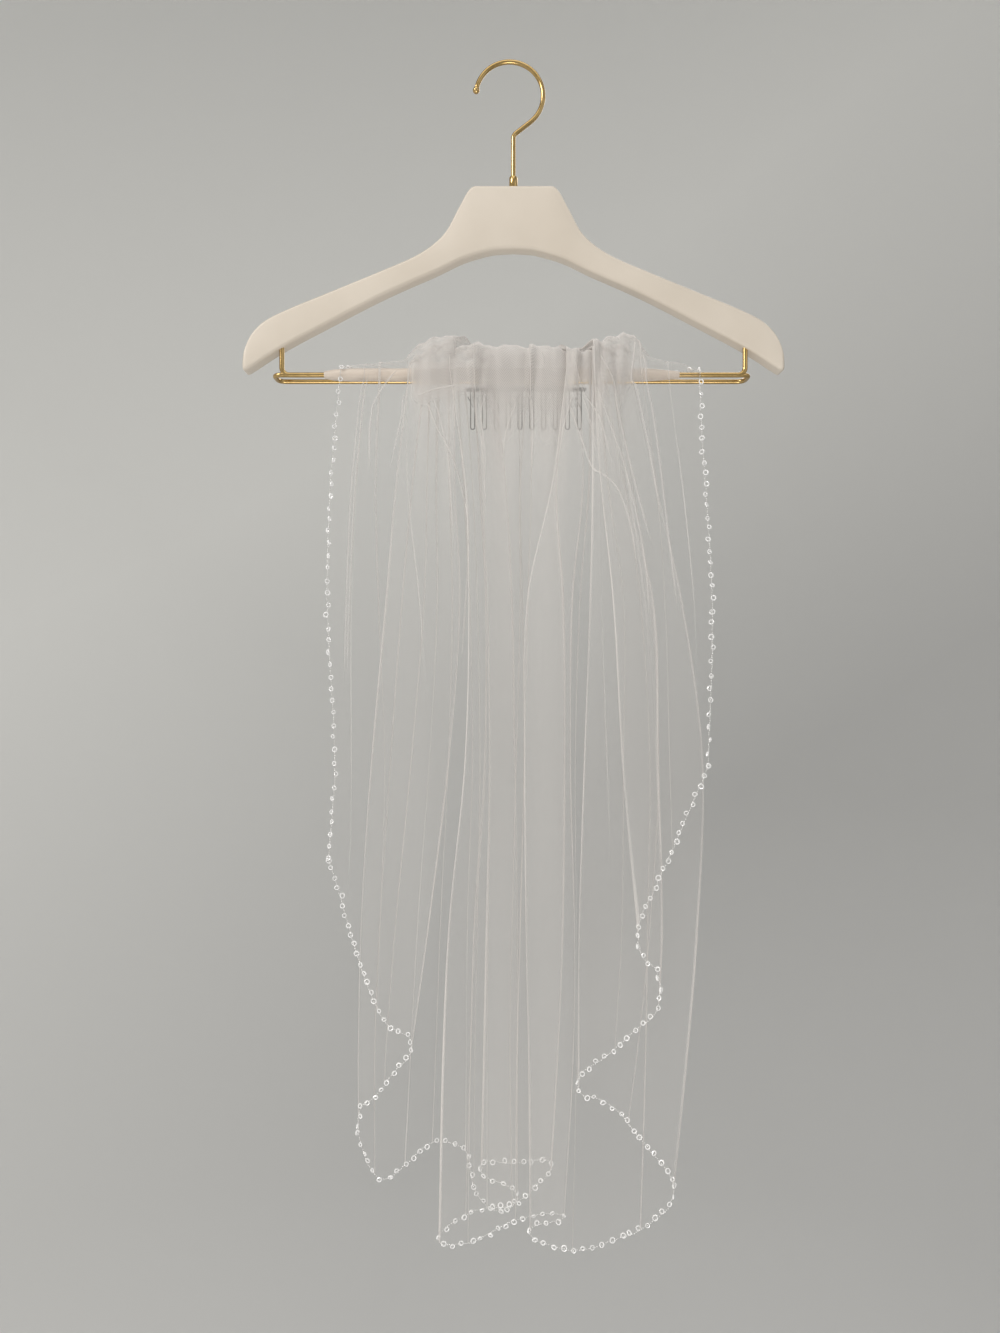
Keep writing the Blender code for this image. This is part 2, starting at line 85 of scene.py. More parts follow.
HOOK_ARC_TO = -52.0
HOOK_BALL_RADIUS = 2.8
BLOCK_TOP_Z = -101.5
BAR_Z = -253.9
BAR_WIRE_RADIUS = 2.05
REAR_WIRE_RADIUS = 1.95
FRONT_ROD_Y = -4.0
REAR_ROD_Y = 15.0
STUB_X = 187.5
STUB_TOP_Z = -222.3
BAR_LEFT_X = -194.0
BAR_RIGHT_X = 191.0
SLEEVE_SECTIONS = (
    # x, radius
    (-153.0, 2.9),
    (-150.0, 3.5),
    (-146.0, 4.3),
    (-132.0, 5.1),
    (-20.0, 5.4),
    (104.0, 5.2),
    (118.0, 4.5),
    (128.0, 3.5),
    (134.0, 2.8),
)

# Comb
COMB_LEFT_X = -39.0
COMB_RIGHT_X = 61.0
COMB_Y = 30.0
COMB_TOP_Z = BAR_Z - 0.6
COMB_TEETH = 20
COMB_TOOTH_LENGTH = 34.0
COMB_LEG_GAP = 3.4

# Veil: the same fold lines as in the solid.
LAYER_BACK_Y = -12.0
LAYER_PITCH = 2.8
FOLD_LAYERS = 0.6
BAR_FOLD_RADIUS = 1.0
GATHER_Y = 14.5
GATHER_SPREAD = 0.72
LEFT_GATHER_SHIFT = -5.0
SPREAD_DROP = 240.0
LINE_DROPS = (0.0, 90.0, 185.0, 310.0, 435.0, 540.0)
FOLD_LINES = (
    # x at the drops, hem x, hem drop, turn, layer, front, crest
    ((-139, -146, -147, -141, None, None), -146, 388, 0, 5.5, 6.3, 6.5),
    ((-107, -110, -107, -102, -105, None), -107, 505, 0, 5.2, 11.5, 11.5),
    ((-46, -46, -42, -51, -66, None), -80, 535, 1, 4.5, 14.5, 28),
    ((-67, -69, -71, -81, -93, -101), -102, 566, 0, 3.6, 12.9, 18),
    ((-84, -94, -102, -113, -121, -124), -124, 602, -1, 2.7, 9.5, 10.5),
    ((-71, -81, -89, -98, -106, -110), -110, 639, 0, 2, 8.2, 9),
    ((-60, -62, -61, -67, -76, -82), -87, 633, 0, 1.4, 7.3, 8.6),
    ((-52, -51, -49, -52, -58, -62), -65, 616, 0, 0.7, 6.6, 8.3),
    ((-45, -40, -35, -33, -37, -38), -39, 625, 0, 0.5, 6.5, 8.6),
    ((-40, -33, -29, -27, -29, -31), -32, 654, 0, 0.9, 6.5, 9),
    ((-34, -26, -21, -19, -20, -21), -21, 669, 0, 1.1, 6.7, 9.4),
    ((-16, -6, -1, 1, 3, 3), 3, 657, 1, 1.9, 7.8, 10.8),
    ((-28, -25, -22, -20, -22, -24), -26, 636, -1, 3.1, 9.8, 13.2),
    ((5, 5, 7, 8, 5, 3), 2, 627, 0, 3.8, 11, 14.4),
    ((44, 34, 39, 40, 39, 35), 30, 630, 1, 4.6, 12.4, 15.8),
    ((11, 5, 5, 2, -1, -3), -1, 658, 0, 5.4, 13.8, 16.9),
    ((-27, -25, -22, -22, -30, -34), -38, 668, 0, 6, 14.9, 17.6),
    ((-51, -39, -36, -39, -51, -56), -59, 683, -1, 6.8, 16.6, 19.2),
    ((-31, -27, -22, -23, -31, -34), -36, 688, 0, 7.5, 18, 20.4),
    ((13, 14, 11, 8, 5, 2), 1, 666, 0, 7.9, 18.7, 21),
    ((51, 55, 46, 44, 47, 46), 39, 663, 1, 8.8, 20.2, 22.4),
    ((41, 30, 10, 8, 9, 11), 12, 673, -1, 10, 22.6, 25),
    ((60, 59, 51, 47, 48, 48), 45, 686, 0, 10.8, 21.8, 24.5),
    ((78, 87, 98, 105, 103, 101), 97, 669, 0, 11.3, 18.4, 22.6),
    ((93, 111, 129, 144, 140, 132), 122, 638, 1, 12.2, 17.5, 22),
    ((79, 92, 105, 111, 104, 93), 87, 586, 0, 13.2, 21.5, 25.4),
    ((62, 61, 58, 53, 49, 49), 48, 553, -1, 14.2, 24.7, 28),
    ((66, 72, 83, 83, 82, 79), 77, 527, 0, 15, 26.35, 29.5),
    ((71, 84, 106, 110, 113, None), 111, 483, 1, 15.8, 28.1, 30.9),
    ((62, 66, 74, 81, 92, None), 93, 438, -1, 17.2, 34, 36),
    ((100, 110, 114, 117, None, None), 119, 374, 0, 17.7, 25, 26),
    ((150, 151, 150, 147, None, None), 145, 310, 0, 17.7, 4.2, 4.2),
)
LEFT_CASCADE_LINES = 5
SKIRT_LEVELS = 72
HEADING_LEVELS = 30
COLUMN_STEP = 3.0  # flat width between the cloth's columns away from folds and creases
FOLD_STEPS = 12  # columns round a turned fold
CREASE_GAP = 30.0  # about how far apart the finer creases lie
LEVEL_POWER = 1.6  # sets the rows closer together near the bar
BUNCH_BASE = 6.5  # cloth lower than this over the bar's middle lies flat on it
BUNCH_OUTLINE = (
    # x, height of the bunch's top over the bar's middle
    (-150, 6.8), (-112, 8.5), (-87, 11), (-80, 20), (-73, 29), (-46, 32), (-27, 29), (-18, 23.5),
    (-4, 25.5), (5, 23.5), (9, 21.5), (21, 25), (44, 25), (49, 22.5), (67, 25), (80, 29), (96, 32),
    (100, 26), (107, 12), (118, 8), (150, 7),
)
BUNCH_LOWER_EDGE = ((-84, 21), (-52, 17), (-22, 11), (-8, 12), (60, 12), (90, 7), (106, 4))  # x, drop
WING_THINNESS = ((-84, 0.35), (-40, 0.45), (-22, 0.8), (-14, 1), (62, 1), (72, 0.5), (106, 0.4))  # x, share
PUCKERS = ((11.6, 1.1, 0.4), (7.1, 0.5, 2.2), (23.0, 0.9, 5.1))  # width, depth, phase
TUCK_WIDTH = 1.5
TUCK_HEIGHT = 0.7
TUCKS = (
    # sharpness, then x and height over the bar's middle along each small tuck in the front layers
    (0.8, (-83, -21), (-74, -19.5), (-62, -16), (-49, -13.8), (-23, -11.4)),
    (1.0, (-91, 2), (-101, -8.5), (-111.5, -25), (-113.5, -35), (-115, -51), (-115, -90)),
    (0.8, (-82.5, -11), (-88, -23.6), (-88.8, -35.5), (-93.6, -56), (-100, -88)),
    (0.6, (-119, 0), (-123, -24), (-126, -56), (-129.4, -103), (-131.8, -183), (-133.3, -254)),
    (0.6, (-115.6, 0), (-120, -24), (-123.2, -56), (-126.8, -103), (-129.6, -183), (-131.5, -254)),
    (1.0, (-71, -19), (-62, -44), (-49, -68.6), (-41, -95.6), (-36.3, -119.5), (-35, -160)),
    (0.7, (-66, -17), (-58, -40), (-52, -70), (-49, -110), (-47, -150)),
    (1.0, (42, -28), (54, -60), (61.5, -82), (67, -87), (80.5, -102), (90, -133), (94, -170)),
    (0.9, (63, 12), (69.6, 1), (77, -14), (80, -34), (86, -62), (97, -110), (107, -150)),
    (0.9, (65.6, 15.5), (77.7, 23), (84, 17.5), (91.6, 5)),
    (0.9, (95.4, 23), (88, 15.5), (78.6, 6)),
    (1.0, (96.3, 28), (94.4, 10), (91.6, -12), (95, -15.5), (99.8, -36), (107, -75), (114, -130)),
    (0.8, (97, 19), (103, 4.6), (104.4, -12), (109, -36), (113, -70), (118, -130), (124, -200)),
    (0.7, (46, 13.6), (53, -15.6), (63, -36), (71, -62), (78, -95)),
    (0.8, (48.3, -17), (44.3, -29), (39.4, -47), (37.8, -56), (33, -90)),
    (0.7, (41, -24), (45, -33), (50, -50), (54, -75)),
    (0.8, (52.4, -18), (58, -36), (62, -55), (66, -84)),
    (0.8, (62, -13), (68, -31), (76, -54), (87, -88), (99, -150), (103, -210)),
    (0.7, (6, -12.4), (12.6, -23), (14.2, -26), (15, -60), (12, -100)),
    (0.8, (-2.8, -16.5), (1.3, -28.6), (-2, -37.6), (-7, -55.4), (-9, -90)),
    (0.7, (-48, -14), (-46.7, -37.6), (-43.3, -55.4), (-38, -90), (-36, -140), (-42, -240)),
    (0.8, (-30.4, -14), (-28.7, -47), (-25.5, -56), (-23, -90), (-22, -130)),
    (0.7, (-20.6, -16.5), (-24, -27), (-26.3, -37.6), (-24, -54), (-20, -100)),
    (0.5, (-70, 12), (-50, 22), (-30, 26)), (0.5, (-76, 22), (-60, 12), (-46, 2)),
    (0.5, (-26, 24), (-30, 8), (-28, -8)), (0.4, (20, 22), (24, 6), (22, -10)),
)
BUNCH_LEFT_X = -84.0
BUNCH_RIGHT_X = 106.0
BUNCH_THREADS = 7.5  # further share of threads throughout the bunch
CREASE_THREADS = 27.0  # further share of threads along the sharpest crease
CREASE_LINE = 0.62  # half width of a crease's bright line
FOLD_LINE = 1.7  # the same round a turned fold
TUCK_THREADS = 13.0  # further share of threads on the sharpest tuck
HEM_ROUNDING = 26.0
GATHERED_BANDS = (
    # x, half width, further share of threads where the gathers lie closest
    (-70, 7, 2), (-52, 5, 4), (-7, 11, 9), (25, 10, 9), (37, 5, 6), (60, 7, 5), (84, 7, 2),
)
PLEATS = (
    # pleat width, depth at the comb, depth at the bar, depth at the hem, phase, drift down the cloth
    (14.7, 0.50, 0.60, 0.20, 4.0, 0.6),
    (31.0, 0.50, 0.60, 0.50, 1.3, -0.4),
)

# Beaded edging
SIDE_CRYSTAL_PITCH = 9.6
HEM_CRYSTAL_PITCH = 7.8
SEED_PITCH = 1.75
SEED_RADIUS = 0.55
EDGE_STEP = 1.0  # between points of the path that the beads follow
EDGE_SMOOTHING = 5


def smooth_step(t):
    t = min(max(t, 0.0), 1.0)
    return t * t * (3 - 2 * t)


# Camera, light and stage


def set_camera():
    data = bpy.data.cameras.new("camera")
    data.sensor_width = SENSOR
    data.lens = SENSOR * FOCAL_PIXELS / PICTURE_HEIGHT
    data.clip_start = 0.01
    camera = bpy.data.objects.new("camera", data)
    camera.location = EYE
    camera.rotation_euler = (math.radians(90), 0, 0)
    bpy.context.scene.collection.objects.link(camera)
    bpy.context.scene.camera = camera


def area_light(name, place, aim, size, power, colour):
    data = bpy.data.lights.new(name, "AREA")
    data.shape = "DISK"
    data.size = size
    data.energy = power
    data.color = colour
    light = bpy.data.objects.new(name, data)
    light.location = place
    light.rotation_euler = (Vector(aim) - Vector(place)).to_track_quat("-Z", "Y").to_euler()
    light.visible_camera = False
    bpy.context.scene.collection.objects.link(light)


def set_light():
    world = bpy.data.worlds.new("studio")
    world.use_nodes = True
    world.node_tree.nodes["Background"].inputs["Color"].default_value = (0.90, 0.90, 0.875, 1)
    world.node_tree.nodes["Background"].inputs["Strength"].default_value = 0.29
    bpy.context.scene.world = world
    middle = (0, 0, -0.45)
    area_light("key", (-1.6, -1.3, 0.9), middle, 1.0, 27.0, (1.0, 0.97, 0.93))
    area_light("fill", (1.6, -1.2, 0.1), middle, 1.6, 3.3, (0.95, 0.97, 1.0))
    area_light("overhead", (0.0, -0.7, 1.5), middle, 2.0, 13.0, (1.0, 0.99, 0.96))
    area_light("floor_bounce", (0.0, -0.9, -1.3), (0.0, -0.9, 0.0), 0.9, 8.0, (1.0, 0.97, 0.92))
    area_light("back", (0.6, 1.4, 0.7), middle, 1.2, 8, (1.0, 0.98, 0.95))
    bpy.context.scene.view_settings.view_transform = "Standard"
    bpy.context.scene.cycles.transparent_max_bounces = 64


def stage_grey():
    """Pale matt grey, deeper towards the floor, and darker to the right as painted shade, as though lit from the
    left.
    """
    shade = Shade("stage_grey")
    place = shade.node("ShaderNodeSeparateXYZ", {"Vector": shade.place()}).outputs
    share = shade.maths("ADD", shade.maths("MULTIPLY", place["Z"], 0.45), 0.66)
    # painted shade: the grey darkens to the right, standing in for light falling from the left
    share = shade.maths("ADD", share, shade.maths("MULTIPLY", place["X"], -0.30))
    colour = shade.ramp(share, (0.62, 0.62, 0.617), (0.95, 0.95, 0.935), 0.0, 1.0)
    shade.set(Base_Color=colour, Roughness=0.9)
    return shade.material


def make_stage():
    """A round floor that sweeps up into a plain wall all the way round, well away from the hanger."""
    floor_z, top_z, radius, bend, sides = -1.6, 2.7, 3.1, 1.7, 96
    profile = []
    for i in range(25):
        angle = math.radians(90 * i / 24)
        profile.append((radius - bend + bend * math.sin(angle), floor_z + bend * (1 - math.cos(angle))))
    profile.append((radius, top_z))
    points, faces = [], [tuple(range(sides))]
    for reach, z in profile:
        for j in range(sides):
            angle = 2 * math.pi * j / sides
            points.append((reach * math.cos(angle), reach * math.sin(angle), z))
    for i in range(len(profile) - 1):
        for j in range(sides):
            k = (j + 1) % sides
            faces.append((i * sides + j, (i + 1) * sides + j, (i + 1) * sides + k, i * sides + k))
    mesh = bpy.data.meshes.new("stage")
    mesh.from_pydata(points, [], faces)
    mesh.shade_smooth()
    mesh.materials.append(stage_grey())
    stage = bpy.data.objects.new("stage", mesh)
    bpy.context.scene.collection.objects.link(stage)


# Materials


class Shade:
    """A material's node tree, with short calls to add and join nodes."""

    def __init__(self, name):
        self.material = bpy.data.materials.new(name)
        self.material.use_nodes = True
        self.tree = self.material.node_tree
        self.shader = self.tree.nodes["Principled BSDF"]
        self.output = self.tree.nodes["Material Output"]

    def node(self, kind, values=(), **settings):
        made = self.tree.nodes.new(kind)
        for key, value in settings.items():
            setattr(made, key, value)
        for socket, value in dict(values).items():
            self.put(made.inputs[socket], value)
        return made

    def put(self, socket, value):
        if isinstance(value, bpy.types.NodeSocket):
            self.tree.links.new(value, socket)
        else:
            socket.default_value = value

    def set(self, **values):
        for name, value in values.items():
            self.put(self.shader.inputs[name.replace("_", " ")], value)

    def maths(self, operation, a, b=0.0):
        return self.node("ShaderNodeMath", {0: a, 1: b}, operation=operation).outputs[0]

    def place(self):
        return self.node("ShaderNodeTexCoord").outputs["Object"]

    def uv(self):
        return self.node("ShaderNodeTexCoord").outputs["UV"]

    def noise(self, vector, scale, detail=2.0, roughness=0.5):
        values = {"Vector": vector, "Scale": scale, "Detail": detail, "Roughness": roughness}
        return self.node("ShaderNodeTexNoise", values).outputs["Fac"]

    def scaled(self, vector, scale):
        return self.node("ShaderNodeMapping", {"Vector": vector, "Scale": scale}).outputs["Vector"]

    def ramp(self, value, low, high, from_low, from_high):
        """Two colours, or two numbers as greys, between two values of a factor."""
        made = self.node("ShaderNodeValToRGB", {"Fac": value})
        for element, place, colour in zip(made.color_ramp.elements, (from_low, from_high), (low, high)):
            element.position = place
            element.color = (*colour, 1) if isinstance(colour, tuple) else (colour, colour, colour, 1)
        return made.outputs["Color"]

    def bump(self, height, strength, distance):
        values = {"Height": height, "Strength": strength, "Distance": distance}
        self.put(self.shader.inputs["Normal"], self.node("ShaderNodeBump", values).outputs["Normal"])


def painted_wood():
    """Cream lacquer on wood: satin, with faint brush marks and the grain telegraphing through."""
    shade = Shade("painted_wood")
    place = shade.place()
    mottle = shade.noise(place, 14.0, 3.0)
    colour = shade.ramp(mottle, (0.65, 0.58, 0.497), (0.71, 0.64, 0.557), 0.3, 0.7)
    brush = shade.noise(shade.scaled(place, (40.0, 900.0, 900.0)), 1.0, 3.0, 0.6)
    orange_peel = shade.noise(place, 900.0, 2.0)
    shade.set(Base_Color=colour, Roughness=shade.ramp(mottle, 0.40, 0.52, 0.3, 0.7))
    shade.set(Coat_Weight=0.25, Coat_Roughness=0.25)
    height = shade.maths("ADD", shade.maths("MULTIPLY", brush, 0.6), shade.maths("MULTIPLY", orange_peel, 0.4))
    shade.bump(height, 0.10, 0.0004)
    return shade.material


def gold_wire():
    """Polished brass-plated wire, drawn along its length."""
    shade = Shade("gold_wire")
    place = shade.place()
    wear = shade.noise(place, 120.0, 3.0)
    colour = shade.ramp(wear, (0.50, 0.34, 0.135), (0.60, 0.42, 0.19), 0.3, 0.75)
    shade.set(Base_Color=colour, Metallic=1.0, Roughness=shade.ramp(wear, 0.17, 0.24, 0.3, 0.75))
    shade.bump(shade.noise(place, 1500.0, 2.0), 0.05, 0.0002)
    return shade.material


def sleeve_satin():
    """Peach satin with a fine weave, slightly puckered round the padding."""
    shade = Shade("sleeve_satin")
    place = shade.place()
    soft = shade.noise(shade.scaled(place, (60.0, 260.0, 260.0)), 1.0, 3.0)
    colour = shade.ramp(soft, (0.60, 0.52, 0.45), (0.70, 0.61, 0.53), 0.3, 0.7)
    shade.set(Base_Color=colour, Roughness=0.42, Sheen_Weight=0.3, Sheen_Roughness=0.4)
    weave = shade.noise(shade.scaled(place, (700.0, 2600.0, 2600.0)), 1.0, 1.0)
    shade.bump(shade.maths("ADD", soft, shade.maths("MULTIPLY", weave, 0.3)), 0.25, 0.0005)
    return shade.material


def comb_wire():
    """Dark polished wire."""
    shade = Shade("comb_wire")
    wear = shade.noise(shade.place(), 300.0, 2.0)
    colour = shade.ramp(wear, (0.10, 0.11, 0.11), (0.22, 0.23, 0.23), 0.35, 0.7)
    shade.set(Base_Color=colour, Metallic=1.0, Roughness=0.32)
    return shade.material


def tulle():
    """Sheer net: its threads cover little of it face on and more the flatter it is seen."""
    shade = Shade("tulle")
    uv = shade.uv()
    net = []
    for angle in (25.0, 85.0, 145.0):
        turned = shade.node("ShaderNodeMapping", {"Vector": uv, "Rotation": (0, 0, math.radians(angle))})
        wave = shade.node(
            "ShaderNodeTexWave", {"Vector": turned.outputs["Vector"], "Scale": 290.0, "Distortion": 0.0},
        )
        net.append(wave.outputs["Fac"])
    threads = shade.maths("MAXIMUM", shade.maths("MAXIMUM", net[0], net[1]), net[2])
    cloud = shade.noise(uv, 22.0, 3.0)
    open_share = shade.ramp(threads, 0.974, 0.948, 0.55, 0.95)
    open_share = shade.maths("MULTIPLY", open_share, shade.ramp(cloud, 0.985, 1.0, 0.3, 0.7))
    facing = shade.node("ShaderNodeLayerWeight", {"Blend": 0.5}).outputs["Facing"]
    head_on = shade.maths("MAXIMUM", shade.maths("SUBTRACT", 1.0, facing), 0.07)
    closeness = shade.node("ShaderNodeAttribute", attribute_name="thread_share").outputs["Fac"]
    see_through = shade.maths("POWER", open_share, shade.maths("DIVIDE", closeness, head_on))
    cover = shade.maths("SUBTRACT", 1.0, see_through)
    colour = shade.ramp(cloud, (0.79, 0.763, 0.744), (0.85, 0.823, 0.804), 0.3, 0.7)
    shade.set(Base_Color=colour, Roughness=0.62, Sheen_Weight=0.15, Sheen_Roughness=0.5)
    through = shade.node("ShaderNodeBsdfTranslucent", {"Color": colour})
    cloth = shade.node("ShaderNodeMixShader", {0: 0.35, 1: shade.shader.outputs[0], 2: through.outputs[0]})
    hole = shade.node("ShaderNodeBsdfTransparent")
    mixed = shade.node("ShaderNodeMixShader", {0: cover, 1: hole.outputs[0], 2: cloth.outputs[0]})
    shade.put(shade.output.inputs["Surface"], mixed.outputs[0])
    return shade.material


def crystal():
    """Clear cut glass on a white foil back, with a faint painted glow standing in for the light it refracts."""
    shade = Shade("crystal")
    shade.set(Base_Color=(0.96, 0.96, 0.96, 1), Roughness=0.08, IOR=1.6, Transmission_Weight=0.2)
    shade.set(Specular_IOR_Level=0.8, Coat_Weight=0.6, Coat_Roughness=0.03)
    # painted glow: faint white emission standing in for light refracted through the cut glass
    shade.set(Emission_Color=(1.0, 1.0, 1.0, 1), Emission_Strength=0.06)
    return shade.material


def seed_bead():
    """Small clear beads with a silver lining."""
    shade = Shade("seed_bead")
    shade.set(Base_Color=(0.84, 0.84, 0.83, 1), Roughness=0.12, Metallic=0.35, Coat_Weight=0.5)
    return shade.material


# Mesh helpers


def make_piece(name, points, faces, material, smooth_angle=None, unit=MM):
    mesh = bpy.data.meshes.new(name)
    mesh.from_pydata([tuple(unit * c for c in p) for p in points], [], faces)
    if smooth_angle is None:
        mesh.shade_flat()
    else:
        mesh.shade_smooth()
        mesh.set_sharp_from_angle(angle=math.radians(smooth_angle))
    if material is not None:
        mesh.materials.append(material)
    piece = bpy.data.objects.new(name, mesh)
    bpy.context.scene.collection.objects.link(piece)
    return piece


def face_outwards(piece):
    work = bmesh.new()
    work.from_mesh(piece.data)
    bmesh.ops.recalc_face_normals(work, faces=work.faces)
    work.to_mesh(piece.data)
    work.free()
    return piece


def loft(rings, closed=False, start=0):
    """Points and faces through rings of equal length, capped at both ends unless they close."""
    count = len(rings[0])
    points = [tuple(p) for ring in rings for p in ring]
    faces = []
    spans = len(rings) if closed else len(rings) - 1
    for i in range(spans):
        here, there = start + i * count, start + (i + 1) % len(rings) * count
        for j in range(count):
            k = (j + 1) % count
            faces.append((here + j, here + k, there + k, there + j))
    if not closed:
        faces.append(tuple(range(start, start + count))[::-1])
        faces.append(tuple(range(start + len(points) - count, start + len(points))))
    return points, faces


def rounded_path(corners, radius, steps=10):
    """The corner points joined by straight runs, with each inner corner bent to this radius."""
    corners = [Vector(c) for c in corners]
    path = [corners[0]]
    for before, corner, after in zip(corners, corners[1:], corners[2:]):
        back = (before - corner).normalized()
        on = (after - corner).normalized()
        half = back.angle(on) / 2
        reach = radius / math.tan(half)
        centre = corner + (back + on).normalized() * (radius / math.sin(half))
        first, last = corner + back * reach - centre, corner + on * reach - centre
        turn = first.angle(last)
        for i in range(steps + 1):
            t = i / steps
            arm = first * math.sin((1 - t) * turn) + last * math.sin(t * turn)
            path.append(centre + arm / math.sin(turn))
    path.append(corners[-1])
    return path


def wire(path, radii, sides=20, start=0):
    """Points and faces of a round wire along a path, with a radius for each point."""
    rings = []
    side = None
    for i, centre in enumerate(path):
        along = (path[min(i + 1, len(path) - 1)] - path[max(i - 1, 0)]).normalized()
        if side is None:
            side = along.orthogonal().normalized()
        side = (side - along * side.dot(along)).normalized()
        up = along.cross(side)
        rings.append(
            [
                centre + (side * math.cos(a) + up * math.sin(a)) * radii[i]
                for a in (2 * math.pi * j / sides for j in range(sides))
            ]
        )
    return loft(rings, start=start)


# Hanger


def body_heights(x):
    """Top and underside of the hanger at a distance from its middle, eased between the sections."""
    rows = BODY_SECTIONS
    for i in range(len(rows) - 1):
        if x <= rows[i + 1][0]:
            break
    heights = []
    for column in (1, 2):
        slopes = []
        for k in (i, i + 1):
            low, high = rows[max(k - 1, 0)], rows[min(k + 1, len(rows) - 1)]
            before = (rows[k][column] - low[column]) / max(rows[k][0] - low[0], 1e-6)
            after = (high[column] - rows[k][column]) / max(high[0] - rows[k][0], 1e-6)
            if k in (0, len(rows) - 1):
                slope = after if k == 0 else before
            elif before * after <= 0:
                slope = 0.0
            else:
                slope = 2 * before * after / (before + after)
            slopes.append(slope)
        (x0, *v0), (x1, *v1) = rows[i], rows[i + 1]
        t, span = (x - x0) / (x1 - x0), x1 - x0
        value = (1 + 2 * t) * (1 - t) ** 2 * v0[column - 1] + t * t * (3 - 2 * t) * v1[column - 1]
        value += span * (t * (1 - t) ** 2 * slopes[0] - t * t * (1 - t) * slopes[1])
        heights.append(value)
    return heights


def body_ring(x):
    top, bottom = body_heights(abs(x))
    share = (x / BODY_HALF_LENGTH) ** 2
    half = (BODY_DEPTH_MIDDLE + (BODY_DEPTH_END - BODY_DEPTH_MIDDLE) * share) / 2
    inset = max(abs(x) - (BODY_HALF_LENGTH - BODY_CORNER_RADIUS), 0.0)
    half -= BODY_CORNER_RADIUS - math.sqrt(max(BODY_CORNER_RADIUS**2 - inset**2, 0.0))
    radius = min(BODY_CORNER_RADIUS, (top - bottom) / 2.4, half)
    ring = []
    for y_side, z_side, from_angle in ((1, 1, 0), (-1, 1, 90), (-1, -1, 180), (1, -1, 270)):
        edge = top if z_side > 0 else bottom
        for step in range(7):
            angle = math.radians(from_angle + 15 * step)
            y = y_side * (half - radius) + radius * math.cos(angle)
            ring.append((MIDDLE_X + x, y, edge - z_side * radius + radius * math.sin(angle)))
    return ring


def make_hanger_body(material):
    spans = [(0, 28, 8), (28, 36, 10), (36, 80, 26), (80, 196, 34), (196, 219, 30)]
    right = [low + (high - low) * i / steps for low, high, steps in spans for i in range(steps)]
    right.append(BODY_HALF_LENGTH)
    places = [-x for x in reversed(right[1:])] + right
    body = make_piece("wooden_hanger", *loft([body_ring(x) for x in places]), material, smooth_angle=35)
    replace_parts(face_outwards(body), "hanger_body")
    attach(body, "root")


def make_hook(material):
    start, end = math.radians(HOOK_ARC_FROM), math.radians(HOOK_ARC_TO)
    centre = Vector((0, 0, HOOK_ARC_Z))

    def on_arc(angle):
        return centre + Vector((math.cos(angle), 0, math.sin(angle))) * HOOK_ARC_RADIUS

    path, radii = [], []
    ball = on_arc(start)
    down = Vector((-math.sin(start), 0, math.cos(start)))
    for i in range(12):
        angle = math.radians(4 + i * 12.5)
        path.append(ball + down * HOOK_BALL_RADIUS * math.cos(angle))
        radii.append(HOOK_BALL_RADIUS * math.sin(angle))
    first = start - 0.09
    for i in range(73):
        path.append(on_arc(first + (end - first) * i / 72))
        radii.append(HOOK_WIRE_RADIUS)
    leave = path[-1]
    heading = Vector((math.sin(end), 0, -math.cos(end)))
    bend = leave + heading * ((MIDDLE_X - leave.x) / heading.x)
    foot = Vector((MIDDLE_X, 0, BLOCK_TOP_Z - 20))
    for point in rounded_path((leave, bend, foot), 5.0)[1:]:
        path.append(point)
        radii.append(HOOK_WIRE_RADIUS)
    hook = face_outwards(make_piece("wire_hook", *wire(path, radii), material, smooth_angle=60))
    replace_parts(hook, "hook")
    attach(hook, "root")


def make_collar(material):
    low, high = BLOCK_TOP_Z + 0.3, BLOCK_TOP_Z + 9.8
    profile = ((2.2, low), (3.15, low), (3.4, low + 0.3), (3.4, high - 1.0), (3.1, high - 0.3), (2.7, high), (2.2, high))
    sides = 40
    rings = []
    for i in range(sides):
        angle = 2 * math.pi * i / sides
        rings.append([(MIDDLE_X + r * math.cos(angle), r * math.sin(angle), z) for r, z in profile])
    collar = face_outwards(make_piece("stem_collar", *loft(rings, closed=True), material, smooth_angle=40))
    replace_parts(collar, "hook_collar")
    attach(collar, "root")


def make_trouser_bar(material):
    def at(x, y, z):
        return Vector((MIDDLE_X + x, y, z))

    corners = (
        at(-STUB_X, FRONT_ROD_Y, STUB_TOP_Z),
        at(-STUB_X, FRONT_ROD_Y, BAR_Z),
        at(STUB_X, FRONT_ROD_Y, BAR_Z),
        at(STUB_X, FRONT_ROD_Y, STUB_TOP_Z),
    )
    path = rounded_path(corners, 6.0)
    points, faces = wire(path, [BAR_WIRE_RADIUS] * len(path))
    loop = (
        at(BAR_LEFT_X + 12, FRONT_ROD_Y, BAR_Z),
        at(BAR_LEFT_X, FRONT_ROD_Y, BAR_Z),
        at(BAR_LEFT_X, REAR_ROD_Y, BAR_Z),
        at(BAR_RIGHT_X, REAR_ROD_Y, BAR_Z),
        at(BAR_RIGHT_X, FRONT_ROD_Y, BAR_Z),
        at(BAR_RIGHT_X - 12, FRONT_ROD_Y, BAR_Z),
    )
    path = rounded_path(loop, 6.0)
    more, more_faces = wire(path, [REAR_WIRE_RADIUS] * len(path), start=len(points))
    bar = make_piece("wire_trouser_bar", points + more, faces + more_faces, material, smooth_angle=60)
    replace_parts(face_outwards(bar), "trouser_bar")
    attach(bar, "root")


